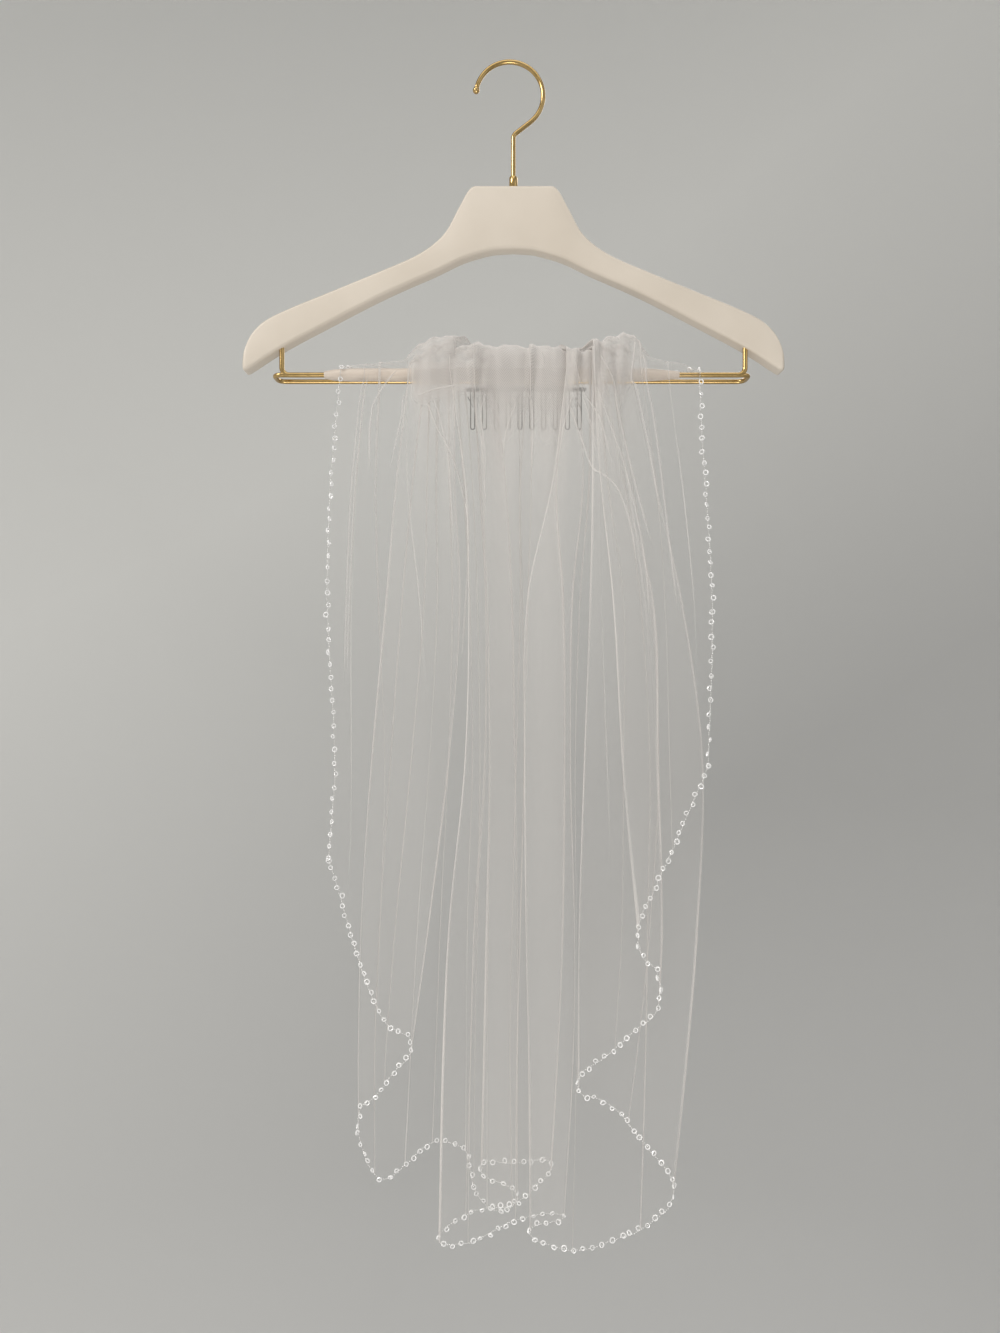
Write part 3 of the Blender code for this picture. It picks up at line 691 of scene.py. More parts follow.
def make_sleeve(material):
    """Satin pulled over padding: a little uneven along its length, drawn in at both ends."""
    sides, steps = 36, 260
    first, last = SLEEVE_SECTIONS[0][0], SLEEVE_SECTIONS[-1][0]
    stations = [row[0] for row in SLEEVE_SECTIONS]
    radii = [row[1] for row in SLEEVE_SECTIONS]
    rings = []
    for i in range(steps + 1):
        x = first + (last - first) * i / steps
        radius = np.interp(x, stations, radii)
        end = min(x - first, last - x)
        ring = []
        for j in range(sides):
            angle = 2 * math.pi * j / sides
            pucker = 0.10 * math.sin(x / 7.3 + 1.7 * math.sin(angle + x / 31)) + 0.06 * math.sin(x / 3.1 + angle * 2)
            gather = 0.16 * math.sin(angle * 9) * max(1 - end / 16, 0.0)
            r = radius + (pucker * min(end / 10, 1.0) + gather) * 0.8
            ring.append((MIDDLE_X + x, FRONT_ROD_Y + r * math.cos(angle), BAR_Z + r * math.sin(angle)))
        rings.append(ring)
    sleeve = face_outwards(make_piece("satin_sleeve", *loft(rings), material, smooth_angle=50))
    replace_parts(sleeve, "bar_sleeve")
    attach(sleeve, "root")
    return sleeve


# Veil


def line_x(row, drop):
    """Where a fold line runs at this drop, as a smooth curve through its measured places."""
    places, hem_x, hem_drop = row[0], row[1], row[2]
    known = [(d, x) for d, x in zip(LINE_DROPS, places) if x is not None and d < hem_drop - 20]
    known.append((hem_drop, hem_x))
    slopes = []
    for i in range(len(known)):
        low, high = known[max(i - 1, 0)], known[min(i + 1, len(known) - 1)]
        slopes.append((high[1] - low[1]) / (high[0] - low[0]))
    for i in range(len(known) - 1):
        (d0, x0), (d1, x1) = known[i], known[i + 1]
        if drop <= d1 or i == len(known) - 2:
            t = (drop - d0) / (d1 - d0)
            span = d1 - d0
            rise = (1 + 2 * t) * (1 - t) ** 2 * x0 + t * t * (3 - 2 * t) * x1
            return rise + span * (t * (1 - t) ** 2 * slopes[i] - t * t * (1 - t) * slopes[i + 1])


def keys_at(place):
    """The key points of the cloth at one level: place gives x, y, z and the fold's radii in y and z."""
    keys = []
    for number, row in enumerate(FOLD_LINES):
        turn = row[3]
        way = -1 if number < LEFT_CASCADE_LINES else 1
        x, y, z, forward, upward = place(row, way)
        if turn == 0:
            keys.append((x, y, z))
            continue
        reach = math.hypot(forward, upward)
        for degrees in (-90, -45, 0, 45, 90):
            angle = math.radians(degrees)
            side = turn * reach * (math.cos(angle) - 1)
            out = way * math.sin(angle)
            keys.append((x + side, y - out * forward, z + out * upward))
    return np.array(keys)


def skirt_place(level):
    """Where each fold line lies at this share of its drop."""

    def place(row, _way):
        hem_drop, layer, front = row[2], row[4], row[5]
        drop = level * hem_drop
        low_y = LAYER_BACK_Y - layer * LAYER_PITCH
        spread = smooth_step(drop / SPREAD_DROP)
        y = (FRONT_ROD_Y - front) * (1 - spread) + low_y * spread
        radius = BAR_FOLD_RADIUS * (1 - spread) + FOLD_LAYERS * LAYER_PITCH * spread
        return line_x(row, drop), y, -drop, radius, 0.0

    return place


def heading_profile(front, crest):
    """The way of the cloth from in front of the bar over both rods to the comb, as (y, z)."""
    return (
        (FRONT_ROD_Y - front, 0.0),
        (FRONT_ROD_Y - 0.74 * front, 0.72 * crest),
        (FRONT_ROD_Y + 4, crest),
        (REAR_ROD_Y - 3, 0.5 + 0.82 * crest),
        (GATHER_Y + 0.94 * GATHER_SPREAD * front, 2 + 0.42 * crest),
        (GATHER_Y + GATHER_SPREAD * front, 0.0),
    )


def on_profile(profile, level):
    """The point at this share of the way along a smooth curve through a profile's points."""
    spans = len(profile) - 1
    at = min(max(level * spans, 0.0), spans - 1e-9)
    i = int(at)
    t = at - i
    padded = [Vector(p) for p in (profile[0], *profile, profile[-1])]
    p0, p1, p2, p3 = padded[i : i + 4]
    return 0.5 * (
        2 * p1 + (p2 - p0) * t + (2 * p0 - 5 * p1 + 4 * p2 - p3) * t * t
        + (3 * p1 - p0 - 3 * p2 + p3) * t ** 3
    )


def heading_place(level):
    """Where each fold line lies at this share of its way over the bar."""
    left, right = line_x(FOLD_LINES[0], 0.0), line_x(FOLD_LINES[-1], 0.0)
    past = max(level - 0.25, 0.0) / 0.75
    gathered = 1.15 * past * past / (past + 0.15)

    def place(row, way):
        profile = heading_profile(row[5], row[6])
        point = on_profile(profile, level)
        run = (on_profile(profile, level + 0.03) - on_profile(profile, level - 0.03)).normalized()
        forward = BAR_FOLD_RADIUS * run.y
        upward = BAR_FOLD_RADIUS * run.x * smooth_step(level / 0.15)
        bar_x = line_x(row, 0.0)
        share = (bar_x - left) / (right - left)
        comb_x = COMB_LEFT_X + (COMB_RIGHT_X - COMB_LEFT_X) * share
        comb_x += LEFT_GATHER_SHIFT if way < 0 else 0.0
        return bar_x * (1 - gathered) + comb_x * gathered, point.x, point.y, forward, upward

    return place


def key_widths():
    """The flat width of cloth from the left side edge to each key point, and to each fold line."""
    middle = keys_at(skirt_place(0.45))
    widths = np.concatenate([[0.0], np.cumsum(np.linalg.norm(np.diff(middle, axis=0), axis=1))])
    lines, key = [], 0
    for row in FOLD_LINES:
        lines.append(widths[key + (2 if row[3] else 0)])
        key += 5 if row[3] else 1
    return widths, lines


def lay_creases(lines):
    """Each crease: flat width from the left side edge, half width, depth, overlap, first and last run,
    sharpness, half width of its bright line.

    One lies on every fold line, and finer ones of uneven size lie between.
    """
    chance = random.Random(11)
    creases = []
    for line, row in zip(lines, FOLD_LINES):
        if lines[0] < line < lines[-1]:
            depth, bright = (0.0, FOLD_LINE) if row[3] else (0.5, CREASE_LINE)
            creases.append((line, 1.3, depth, 2.4 * depth, -100.0, 900.0, chance.uniform(0.35, 0.95), bright))
    for before, after in zip(lines, lines[1:]):
        gap = after - before
        count = max(round(gap / CREASE_GAP) - 1, 0)
        for i in range(count):
            at = before + gap * (i + 1 + chance.uniform(-0.35, 0.35)) / (count + 1)
            half = chance.uniform(0.8, 1.4)
            depth = chance.uniform(0.2, 0.45)
            first = chance.choice((-100, -100, -20, 60, 200))
            last = first + chance.choice((180, 260, 380, 520, 900))
            sharpness = chance.uniform(0.3, 0.9)
            creases.append((at, half, depth, 1.6 * depth, first, last, sharpness, CREASE_LINE))
    return sorted(creases)


def column_widths(widths, creases):
    """Where the cloth's columns lie: evenly over the flat width, and closer at folds and creases."""
    marks = [np.arange(0.0, widths[-1], COLUMN_STEP), [widths[-1]]]
    key = 0
    for row in FOLD_LINES:
        if row[3]:
            marks.append(np.linspace(widths[key], widths[key + 4], FOLD_STEPS + 1))
        key += 5 if row[3] else 1
    for at, half, *_ in creases:
        marks.append(at + np.array((-0.9, -0.32, 0.32, 0.9)))
        marks.append(at + half * np.array((-1.9, -1.1, 1.1, 1.9)))
    marks = np.sort(np.clip(np.concatenate(marks), 0.0, widths[-1]))
    kept = [0.0]
    for mark in marks:
        if mark - kept[-1] > 0.3:
            kept.append(mark)
    kept[-1] = widths[-1]
    return np.array(kept)


def spline_row(keys, key, t):
    """Points on a centripetal spline through the keys: key is where each one starts, t how far on it lies."""
    first, last = 2 * keys[0] - keys[1], 2 * keys[-1] - keys[-2]
    padded = np.vstack([first, keys, last])
    gaps = np.sqrt(np.maximum(np.linalg.norm(np.diff(padded, axis=0), axis=1), 1e-6))
    p0, p1, p2, p3 = (padded[key + i] for i in range(4))
    g0, g1, g2 = (gaps[key + i][:, None] for i in range(3))
    leave = ((p1 - p0) / g0 - (p2 - p0) / (g0 + g1) + (p2 - p1) / g1) * g1
    arrive = ((p2 - p1) / g1 - (p3 - p1) / (g1 + g2) + (p3 - p2) / g2) * g1
    point = (1 + 2 * t) * (1 - t) ** 2 * p1 + t * t * (3 - 2 * t) * p2
    return point + t * (1 - t) ** 2 * leave - t * t * (1 - t) * arrive


def directions(grid, axis):
    """At each point the mean of the directions to and from its neighbours along one axis."""
    steps = np.diff(grid, axis=axis)
    steps /= np.maximum(np.linalg.norm(steps, axis=2, keepdims=True), 1e-9)
    first, last = np.take(steps, [0], axis), np.take(steps, [-1], axis)
    total = np.concatenate([first, steps], axis) + np.concatenate([steps, last], axis)
    return total / np.maximum(np.linalg.norm(total, axis=2, keepdims=True), 1e-9)


def waved(grid, drop):
    """Slow waves that all layers share, so that none meets another."""
    x = grid[..., 0]
    hang = np.clip(drop / 300.0, 0.0, 1.0)
    wave = 2.6 * np.sin(x / 17.0 + 1.1 + drop / 260.0) + 1.7 * np.sin(x / 8.3 + 2.6 - drop / 170.0)
    grid = grid.copy()
    grid[..., 1] += wave * (0.25 + 0.75 * hang)
    return grid


def shaped_bunch(grid):
    """Draws the layers over the bar in or out, in their order, to the bunch's uneven top."""
    x, lift = grid[..., 0], grid[..., 2]
    step = 4.0
    places = np.arange(-156.0, 166.0, step)
    top = np.full(len(places), BUNCH_BASE)
    nearest = np.clip(np.round((x - places[0]) / step).astype(int), 0, len(places) - 1)
    np.maximum.at(top, nearest, lift)
    top = np.convolve(np.pad(top, 2, mode="edge"), np.ones(5) / 5, mode="valid")
    wanted = np.interp(places, *zip(*BUNCH_OUTLINE))
    stretch = np.clip((wanted - BUNCH_BASE) / np.maximum(top - BUNCH_BASE, 0.5), 0.15, 1.5)
    shaped = grid.copy()
    shaped[..., 2] += np.maximum(lift - BUNCH_BASE, 0.0) * (np.interp(x, places, stretch) - 1)
    return shaped


def puckered(grid, run):
    """Soft gathers that all layers share where they cross the bar."""
    x = grid[..., 0]
    inside = np.clip((x - BUNCH_LEFT_X) / 12, 0, 1) * np.clip((BUNCH_RIGHT_X - x) / 12, 0, 1)
    inside *= np.where(run < 0, 1.0, np.exp(-np.maximum(run, 0.0) / 45))
    wave = sum(
        depth * np.sin(2 * math.pi * (x + 0.07 * run) / width + phase + 0.8 * np.sin(x / 19))
        for width, depth, phase in PUCKERS
    )
    ends = inside * (1 - np.interp(x, *zip(*WING_THINNESS))) * np.clip(-(run + 4) / 4, 0, 1)
    wave = wave + 1.3 * ends * np.sin(wing_fold(grid))
    shaped = grid.copy()
    shaped[..., 1] -= (wave + 1.2) * inside
    shaped[..., 2] += 0.5 * wave * inside * (run < 0)
    return shaped


def pleated(grid, run, width, creases):
    """Adds the soft pleats and the creases. run is the cloth's length below the bar."""
    along = directions(grid, 1)
    normals = np.cross(directions(grid, 0), along)
    normals /= np.maximum(np.linalg.norm(normals, axis=2, keepdims=True), 1e-9)
    out, side = np.zeros_like(run), np.zeros_like(run)
    for pitch, comb, bar, hem, phase, drift in PLEATS:
        depth = np.interp(run, (-75, 0, 160, 650), (comb, bar, 0.6 * bar + 0.4 * hem, hem))
        uneven = 0.55 + 0.45 * np.sin(width / (pitch * 4.3) + phase * 3 + run / 190)
        swing = width * 2 * np.pi / pitch + phase + drift * run / 90 + 0.9 * np.sin(width / 37 + phase)
        out += depth * uneven * np.sin(swing)
    for at, half, depth, overlap, first, last, *_ in creases:
        t = (width - at) / half
        near = 2.33 * t * np.exp(-t * t) * reach_of(run, first, last)
        out += depth * near
        side -= overlap * near
    return grid + normals * out[..., None] + along * side[..., None]


def reach_of(run, first, last):
    """1 along a crease's length, easing to 0 at its ends."""
    return np.clip((run - first) / 50 + 0.5, 0, 1) * np.clip((last - run) / 120, 0, 1)


def wing_fold(grid):
    """The phase of the slanting folds at the bunch's two ends."""
    x, height = grid[..., 0], grid[..., 2]
    slant = np.where(x < 0, -0.55, 0.8)
    return 2 * math.pi * (height + slant * x) / 10.5 + 1.3 * np.sin(x / 9.0)


def thread_share(grid, run, width, creases):
    """How many times closer the threads lie than in flat net: in the gathers and along the sharp creases."""
    x = grid[..., 0]
    inside = np.clip((x - BUNCH_LEFT_X) / 6, 0, 1) * np.clip((BUNCH_RIGHT_X - x) / 6, 0, 1)
    lower_edge = np.interp(x, *zip(*BUNCH_LOWER_EDGE))
    fade = np.interp(x, (-18, -8, 55, 95), (4.0, 12.0, 12.0, 6.0))
    near_bar = np.where(run < lower_edge, 1.0, np.exp(-(run - lower_edge) / fade))
    over_bar = np.clip(-(run + 4) / 4, 0, 1)
    wing = 1 - over_bar * (1 - np.interp(x, *zip(*WING_THINNESS)))
    past = np.maximum(run - 26, 0)
    fan = 0.9 * np.exp(-past / 35) + 0.1 * np.exp(-past / 300)
    gathered = BUNCH_THREADS * near_bar * inside * wing + 1.6 * inside * fan
    gathered *= 1 + over_bar * (1 - wing) * np.sin(wing_fold(grid))
    for place, half, more in GATHERED_BANDS:
        gathered += more * fan * np.exp(-(((x - place) / half) ** 2))
    sharp = np.zeros_like(run)
    for number, (at, _, _, _, first, last, sharpness, bright) in enumerate(creases):
        waver = 0.65 + 0.35 * np.sin(run / (31 + 5 * (number % 7)) + number * 1.9)
        line = np.exp(-(((width - at) / bright) ** 4)) * reach_of(run, first, last)
        sharp = np.maximum(sharp, sharpness * waver * line)
    return 1 + gathered + CREASE_THREADS * sharp


def hem_drops(columns, lines):
    """How far below the bar the hem lies: it rounds each turned fold instead of coming to a point."""
    drops = np.array([row[2] for row in FOLD_LINES], float)
    lines = np.array(lines)
    slopes = np.gradient(drops, lines)
    span = np.clip(np.searchsorted(lines, columns, side="right") - 1, 0, len(lines) - 2)
    length = lines[span + 1] - lines[span]
    t = (columns - lines[span]) / length
    hem = (1 + 2 * t) * (1 - t) ** 2 * drops[span] + t * t * (3 - 2 * t) * drops[span + 1]
    hem += length * (t * (1 - t) ** 2 * slopes[span] - t * t * (1 - t) * slopes[span + 1])
    for i in range(1, len(lines) - 1):
        if FOLD_LINES[i][3]:
            for way, reach in ((-1, lines[i] - lines[i - 1]), (1, lines[i + 1] - lines[i])):
                reach = min(HEM_ROUNDING, 0.9 * reach)
                past = np.clip(way * (columns - lines[i]) / reach, 0.0, 1.0)
                hem += way * slopes[i] * reach * 0.9 * np.sqrt(past) * (1 - past) ** 2
    return hem


def slant_of(columns, lines):
    """How far the creases between two fold lines lean: none at the fold lines, most halfway."""
    chance = random.Random(5)
    slants = np.zeros_like(columns)
    for before, after in zip(lines, lines[1:]):
        lean = chance.uniform(0.08, 0.16) * chance.choice((-1, 1)) * (after - before)
        within = np.clip((columns - before) / (after - before), 0, 1)
        slants += lean * np.sin(math.pi * within)
    return slants


def veil_grid():
    """The cloth's points row by row from the comb to the hem, with each one's run, flat width and thread share."""
    widths, lines = key_widths()
    creases = lay_creases(lines)
    columns = column_widths(widths, creases)
    slants = slant_of(columns, lines)
    shares = [(i / SKIRT_LEVELS) ** LEVEL_POWER for i in range(SKIRT_LEVELS + 1)]
    places = [heading_place(1 - i / HEADING_LEVELS) for i in range(HEADING_LEVELS)]
    places += [skirt_place(share) for share in shares]
    rows, flat = [], []
    for place, share in zip(places, [0.0] * HEADING_LEVELS + shares):
        slanted = columns + slants * math.cos(math.pi * min(1.25 * share, 1.0))
        key = np.clip(np.searchsorted(widths, slanted, side="right") - 1, 0, len(widths) - 2)
        t = ((slanted - widths[key]) / (widths[key + 1] - widths[key]))[:, None]
        rows.append(spline_row(keys_at(place), key, t))
        flat.append(slanted)
    grid, flat = np.array(rows), np.array(flat)
    grid[:HEADING_LEVELS] = shaped_bunch(grid[:HEADING_LEVELS])
    lengths = np.linalg.norm(np.diff(grid, axis=0), axis=2)
    run = np.concatenate([np.zeros((1, grid.shape[1])), np.cumsum(lengths, axis=0)])
    run = run - run[HEADING_LEVELS]
    width = np.broadcast_to(columns, run.shape)
    shares = np.array(shares)[:, None]
    grid[HEADING_LEVELS:, :, 2] -= (hem_drops(flat[-1], lines) + grid[-1, :, 2]) * shares**3
    grid = puckered(waved(grid, np.maximum(run, 0.0)), run)
    threads = thread_share(grid, run, width, creases)
    return pleated(grid, run, width, creases) + (MIDDLE_X, 0.0, BAR_Z), run, flat, threads


def smooth_line(points, step):
    """A smooth curve through the points, in steps of about this length."""
    points = np.array(points, float)
    lengths = np.linalg.norm(np.diff(points, axis=0), axis=1)
    line = []
    padded = np.vstack([2 * points[0] - points[1], points, 2 * points[-1] - points[-2]])
    for i, length in enumerate(lengths):
        count = max(int(length / step), 1)
        for t in np.arange(count) / count:
            p0, p1, p2, p3 = padded[i : i + 4]
            line.append(
                0.5 * (2 * p1 + (p2 - p0) * t + (2 * p0 - 5 * p1 + 4 * p2 - p3) * t * t
                + (3 * p1 - p0 - 3 * p2 + p3) * t**3)
            )
    return np.array(line + [points[-1]])


def tuck_strips(grid, faces):
    """Small ridged tucks lying on the front of the cloth: their points, faces and thread shares."""
    surface = BVHTree.FromPolygons(grid.reshape(-1, 3).tolist(), faces)
    points, strips, shares = [], [], []
    for sharpness, *places in TUCKS:
        line = smooth_line(places, 2.0)
        depth = []
        for x, height in line:
            hit = surface.ray_cast(Vector((x + MIDDLE_X, -120.0, height + BAR_Z)), Vector((0, 1, 0)))[0]
            depth.append(hit.y if hit else np.nan)
        depth = np.array(depth)
        known = ~np.isnan(depth)
        if known.sum() < 3:
            continue
        steps = np.arange(len(depth))
        depth = np.interp(steps, steps[known], depth[known])
        depth = np.convolve(np.pad(depth, 3, mode="edge"), np.ones(7) / 7, mode="valid") - 0.3
        path = np.stack([line[:, 0] + MIDDLE_X, depth, line[:, 1] + BAR_Z], axis=1)
        along = directions(path[:, None], 0)[:, 0]
        side = np.cross(along, (0.0, -1.0, 0.0))
        side /= np.linalg.norm(side, axis=1, keepdims=True)
        swell = np.clip(np.minimum(steps / 5.0, (len(steps) - 1 - steps) / 14.0), 0.12, 1.0)[:, None]
        start = len(points) + grid.shape[0] * grid.shape[1]
        for across, lift in ((-0.5, 0.0), (-0.2, 0.8), (0.2, 0.8), (0.5, 0.0)):
            row = path + side * across * TUCK_WIDTH * swell
            row[:, 1] -= lift * TUCK_HEIGHT * swell[:, 0]
            points += row.tolist()
            shares += (0.3 + TUCK_THREADS * sharpness * swell[:, 0] ** 1.5 * (0.4 + 0.6 * lift)).tolist()
        count = len(path)
        for j in range(3):
            for i in range(count - 1):
                a = start + j * count + i
                strips.append((a, a + 1, a + count + 1, a + count))
    return points, strips, shares


def make_veil(material):
    grid, run, width, threads = veil_grid()
    levels, columns = run.shape
    faces = []
    for i in range(levels - 1):
        for j in range(columns - 1):
            a = i * columns + j
            faces.append((a, a + columns, a + columns + 1, a + 1))
    print("flat", round(width.max()), round(run.min()), round(run.max()))
    tucks, strips, shares = tuck_strips(grid, faces)
    points = grid.reshape(-1, 3).tolist() + tucks
    veil = make_piece("veil_cloth", points, faces + strips, material, smooth_angle=180)
    layer = veil.data.uv_layers.new(name="UVMap")
    corners = np.empty(len(veil.data.loops), np.int32)
    veil.data.loops.foreach_get("vertex_index", corners)
    flat = np.stack([width.reshape(-1), -run.reshape(-1)], axis=1)
    flat = np.vstack([flat, np.array(tucks)[:, (0, 2)]]) * MM
    layer.data.foreach_set("uv", flat[corners].astype(np.float32).reshape(-1))
    closeness = veil.data.attributes.new("thread_share", "FLOAT", "POINT")
    closeness.data.foreach_set("value", np.concatenate([threads.reshape(-1), shares]).astype(np.float32))
    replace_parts(veil, "veil_skirt", "veil_heading")
    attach(veil, "root")
    return veil, grid


# Beaded edging and comb, by Geometry Nodes


class Tree:
    """A Geometry Nodes tree with a geometry input and output, and short calls to add nodes."""

    def __init__(self, name, **inputs):
        self.tree = bpy.data.node_groups.new(name, "GeometryNodeTree")
        face = self.tree.interface
        face.new_socket("Geometry", in_out="INPUT", socket_type="NodeSocketGeometry")
        self.names = {}
        for title, (kind, value) in inputs.items():
            socket = face.new_socket(title, in_out="INPUT", socket_type="NodeSocket" + kind)
            if value is not None:
                socket.default_value = value
            self.names[title] = socket.identifier
        face.new_socket("Geometry", in_out="OUTPUT", socket_type="NodeSocketGeometry")
        self.into = self.tree.nodes.new("NodeGroupInput")
        self.out = self.tree.nodes.new("NodeGroupOutput")

    def node(self, kind, values=(), **settings):
        made = self.tree.nodes.new(kind)
        for key, value in settings.items():
            setattr(made, key, value)
        for socket, value in dict(values).items():
            if isinstance(value, bpy.types.NodeSocket):
                self.tree.links.new(value, made.inputs[socket])
            else:
                made.inputs[socket].default_value = value
        return made

    def join(self, parts):
        joined = self.tree.nodes.new("GeometryNodeJoinGeometry")
        for part in parts:
            self.tree.links.new(part, joined.inputs[0])
        return joined.outputs[0]

    def finish(self, geometry):
        self.tree.links.new(geometry, self.out.inputs[0])


def made_by(tree, name, points, edges, attributes, material, body_slot=None, **values):
    """Runs a tree on a path and returns its result as a plain mesh piece."""
    mesh = bpy.data.meshes.new(name)
    mesh.from_pydata([tuple(MM * c for c in p) for p in points], edges, [])
    for title, rows in attributes.items():
        rows = np.asarray(rows, np.float32)
        kind, field = ("FLOAT_VECTOR", "vector") if rows.ndim == 2 else ("FLOAT", "value")
        mesh.attributes.new(title, kind, "POINT").data.foreach_set(field, rows.reshape(-1))
    guide = bpy.data.objects.new(name + "_guide", mesh)
    bpy.context.scene.collection.objects.link(guide)
    modifier = guide.modifiers.new(name, "NODES")
    modifier.node_group = tree.tree
    for title, value in values.items():
        modifier[tree.names[title]] = value
    bpy.context.view_layer.update()
    graph = bpy.context.evaluated_depsgraph_get()
    result = bpy.data.meshes.new_from_object(guide.evaluated_get(graph), depsgraph=graph)
    guide.modifiers.clear()
    bpy.data.objects.remove(guide)
    result.name = name
    result.materials.clear()
    result.materials.append(material)
    piece = bpy.data.objects.new(name, result)
    bpy.context.scene.collection.objects.link(piece)
    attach(piece, "root")
    return piece


def shape_to_repeat(name, points, faces, smooth_angle):
    """A small shape that a tree copies. It stays out of the scene."""
    piece = face_outwards(make_piece(name, points, faces, None, smooth_angle))
    bpy.context.scene.collection.objects.unlink(piece)
    return piece


def ring_crystal():
    """A cut ring: steep outer facets, a sloping top and a small well in its middle."""
    profile = ((1.4, -0.45), (2.0, -0.6), (2.35, 0.1), (1.95, 0.75), (1.6, 0.6))
    sides = 8
    rings = []
    for i in range(sides):
        angle = 2 * math.pi * i / sides
        rings.append([(r * math.cos(angle), r * math.sin(angle), z) for r, z in profile])
    return shape_to_repeat("ring_crystal", *loft(rings, closed=True), smooth_angle=12)


def seed_shape():
    """A tiny round bead."""
    rows, sides = (-0.8, 0.0, 0.8), 6
    points = [(0, 0, -SEED_RADIUS)]
    for z in rows:
        radius = math.sqrt(1 - (0.62 * z) ** 2) * SEED_RADIUS if z == 0 else 0.62 * SEED_RADIUS
        height = z * SEED_RADIUS
        for j in range(sides):
            angle = 2 * math.pi * j / sides
            points.append((radius * math.cos(angle), radius * math.sin(angle), height))
    points.append((0, 0, SEED_RADIUS))
    top = len(points) - 1
    faces = []
    for j in range(sides):
        k = (j + 1) % sides
        faces.append((0, 1 + k, 1 + j))
        faces.append((top, top - sides + j, top - sides + k))
        for row in range(len(rows) - 1):
            low, high = 1 + row * sides, 1 + (row + 1) * sides
            faces.append((low + j, low + k, high + k, high + j))
    return shape_to_repeat("seed_bead", points, faces, smooth_angle=180)


def bead_tree(name, seed):
    """Beads of one kind along paths that carry the cloth's normal and their own pitch.

    Tilt is in radians. Slip is how far a bead lies off its even place. Smallest and Largest scale the shape.
    """
    tree = Tree(
        name, Shape=("Object", None), Tilt=("Float", 0.3), Slip=("Float", 0.0), Smallest=("Float", 0.8),
        Largest=("Float", 1.0), Finish=("Material", None),
    )
    group = tree.into.outputs

    def either_way(size, number):
        less = tree.node("ShaderNodeMath", {0: group[size], 1: -1.0}, operation="MULTIPLY").outputs[0]
        values = {"Min": less, "Max": group[size], "Seed": number}
        return tree.node("FunctionNodeRandomValue", values, data_type="FLOAT_VECTOR").outputs["Value"]

    curve = tree.node("GeometryNodeMeshToCurve", {"Mesh": group["Geometry"]}).outputs[0]
    pitch = tree.node("GeometryNodeInputNamedAttribute", {"Name": "pitch"}, data_type="FLOAT").outputs["Attribute"]
    even = tree.node("GeometryNodeResampleCurve", {"Curve": curve, "Length": pitch}, mode="LENGTH").outputs[0]
    slipped = tree.node("GeometryNodeSetPosition", {"Geometry": even, "Offset": either_way("Slip", seed + 2)})
    normal = tree.node(
        "GeometryNodeInputNamedAttribute", {"Name": "cloth_normal"}, data_type="FLOAT_VECTOR",
    ).outputs["Attribute"]
    tangent = tree.node("GeometryNodeInputTangent").outputs[0]
    turned = tree.node(
        "FunctionNodeAxesToRotation", {0: normal, 1: tangent}, primary_axis="Z", secondary_axis="X",
    ).outputs[0]
    shaken = tree.node(
        "FunctionNodeRotateRotation", {0: turned, 1: either_way("Tilt", seed)}, rotation_space="LOCAL",
    ).outputs[0]
    size = tree.node(
        "FunctionNodeRandomValue", {2: group["Smallest"], 3: group["Largest"], "Seed": seed + 1},
    ).outputs[1]
    source = tree.node("GeometryNodeObjectInfo", {"Object": group["Shape"]}).outputs["Geometry"]
    beads = tree.node(
        "GeometryNodeInstanceOnPoints",
        {"Points": slipped.outputs[0], "Instance": source, "Rotation": shaken, "Scale": size},
    ).outputs[0]
    real = tree.node("GeometryNodeRealizeInstances", {0: beads}).outputs[0]
    painted = tree.node("GeometryNodeSetMaterial", {"Geometry": real, "Material": group["Finish"]})
    tree.finish(painted.outputs[0])
    return tree


def eased(rows, reach, even):
    """The rows resampled at even reaches along a path and smoothed a little."""
    window = np.ones(EDGE_SMOOTHING) / EDGE_SMOOTHING
    columns = []
    for i in range(3):
        column = np.interp(even, reach, rows[:, i])
        padded = np.pad(column, EDGE_SMOOTHING // 2, mode="reflect", reflect_type="odd")
        columns.append(np.convolve(padded, window, mode="valid")[: len(even)])
    return np.stack(columns, axis=1)


def edge_turn(points):
    """How far the edge curls out of the cloth: the left side's edge is seen edge on below the bar."""
    drop = BAR_Z - points[:, 2]
    left = np.exp(-(((drop - 108) / 62) ** 4)) * (points[:, 0] < -60)
    flutter = 0.35 * np.sin(drop / 23 + points[:, 0] / 31)
    return math.radians(72) * left + flutter * (1 - left)


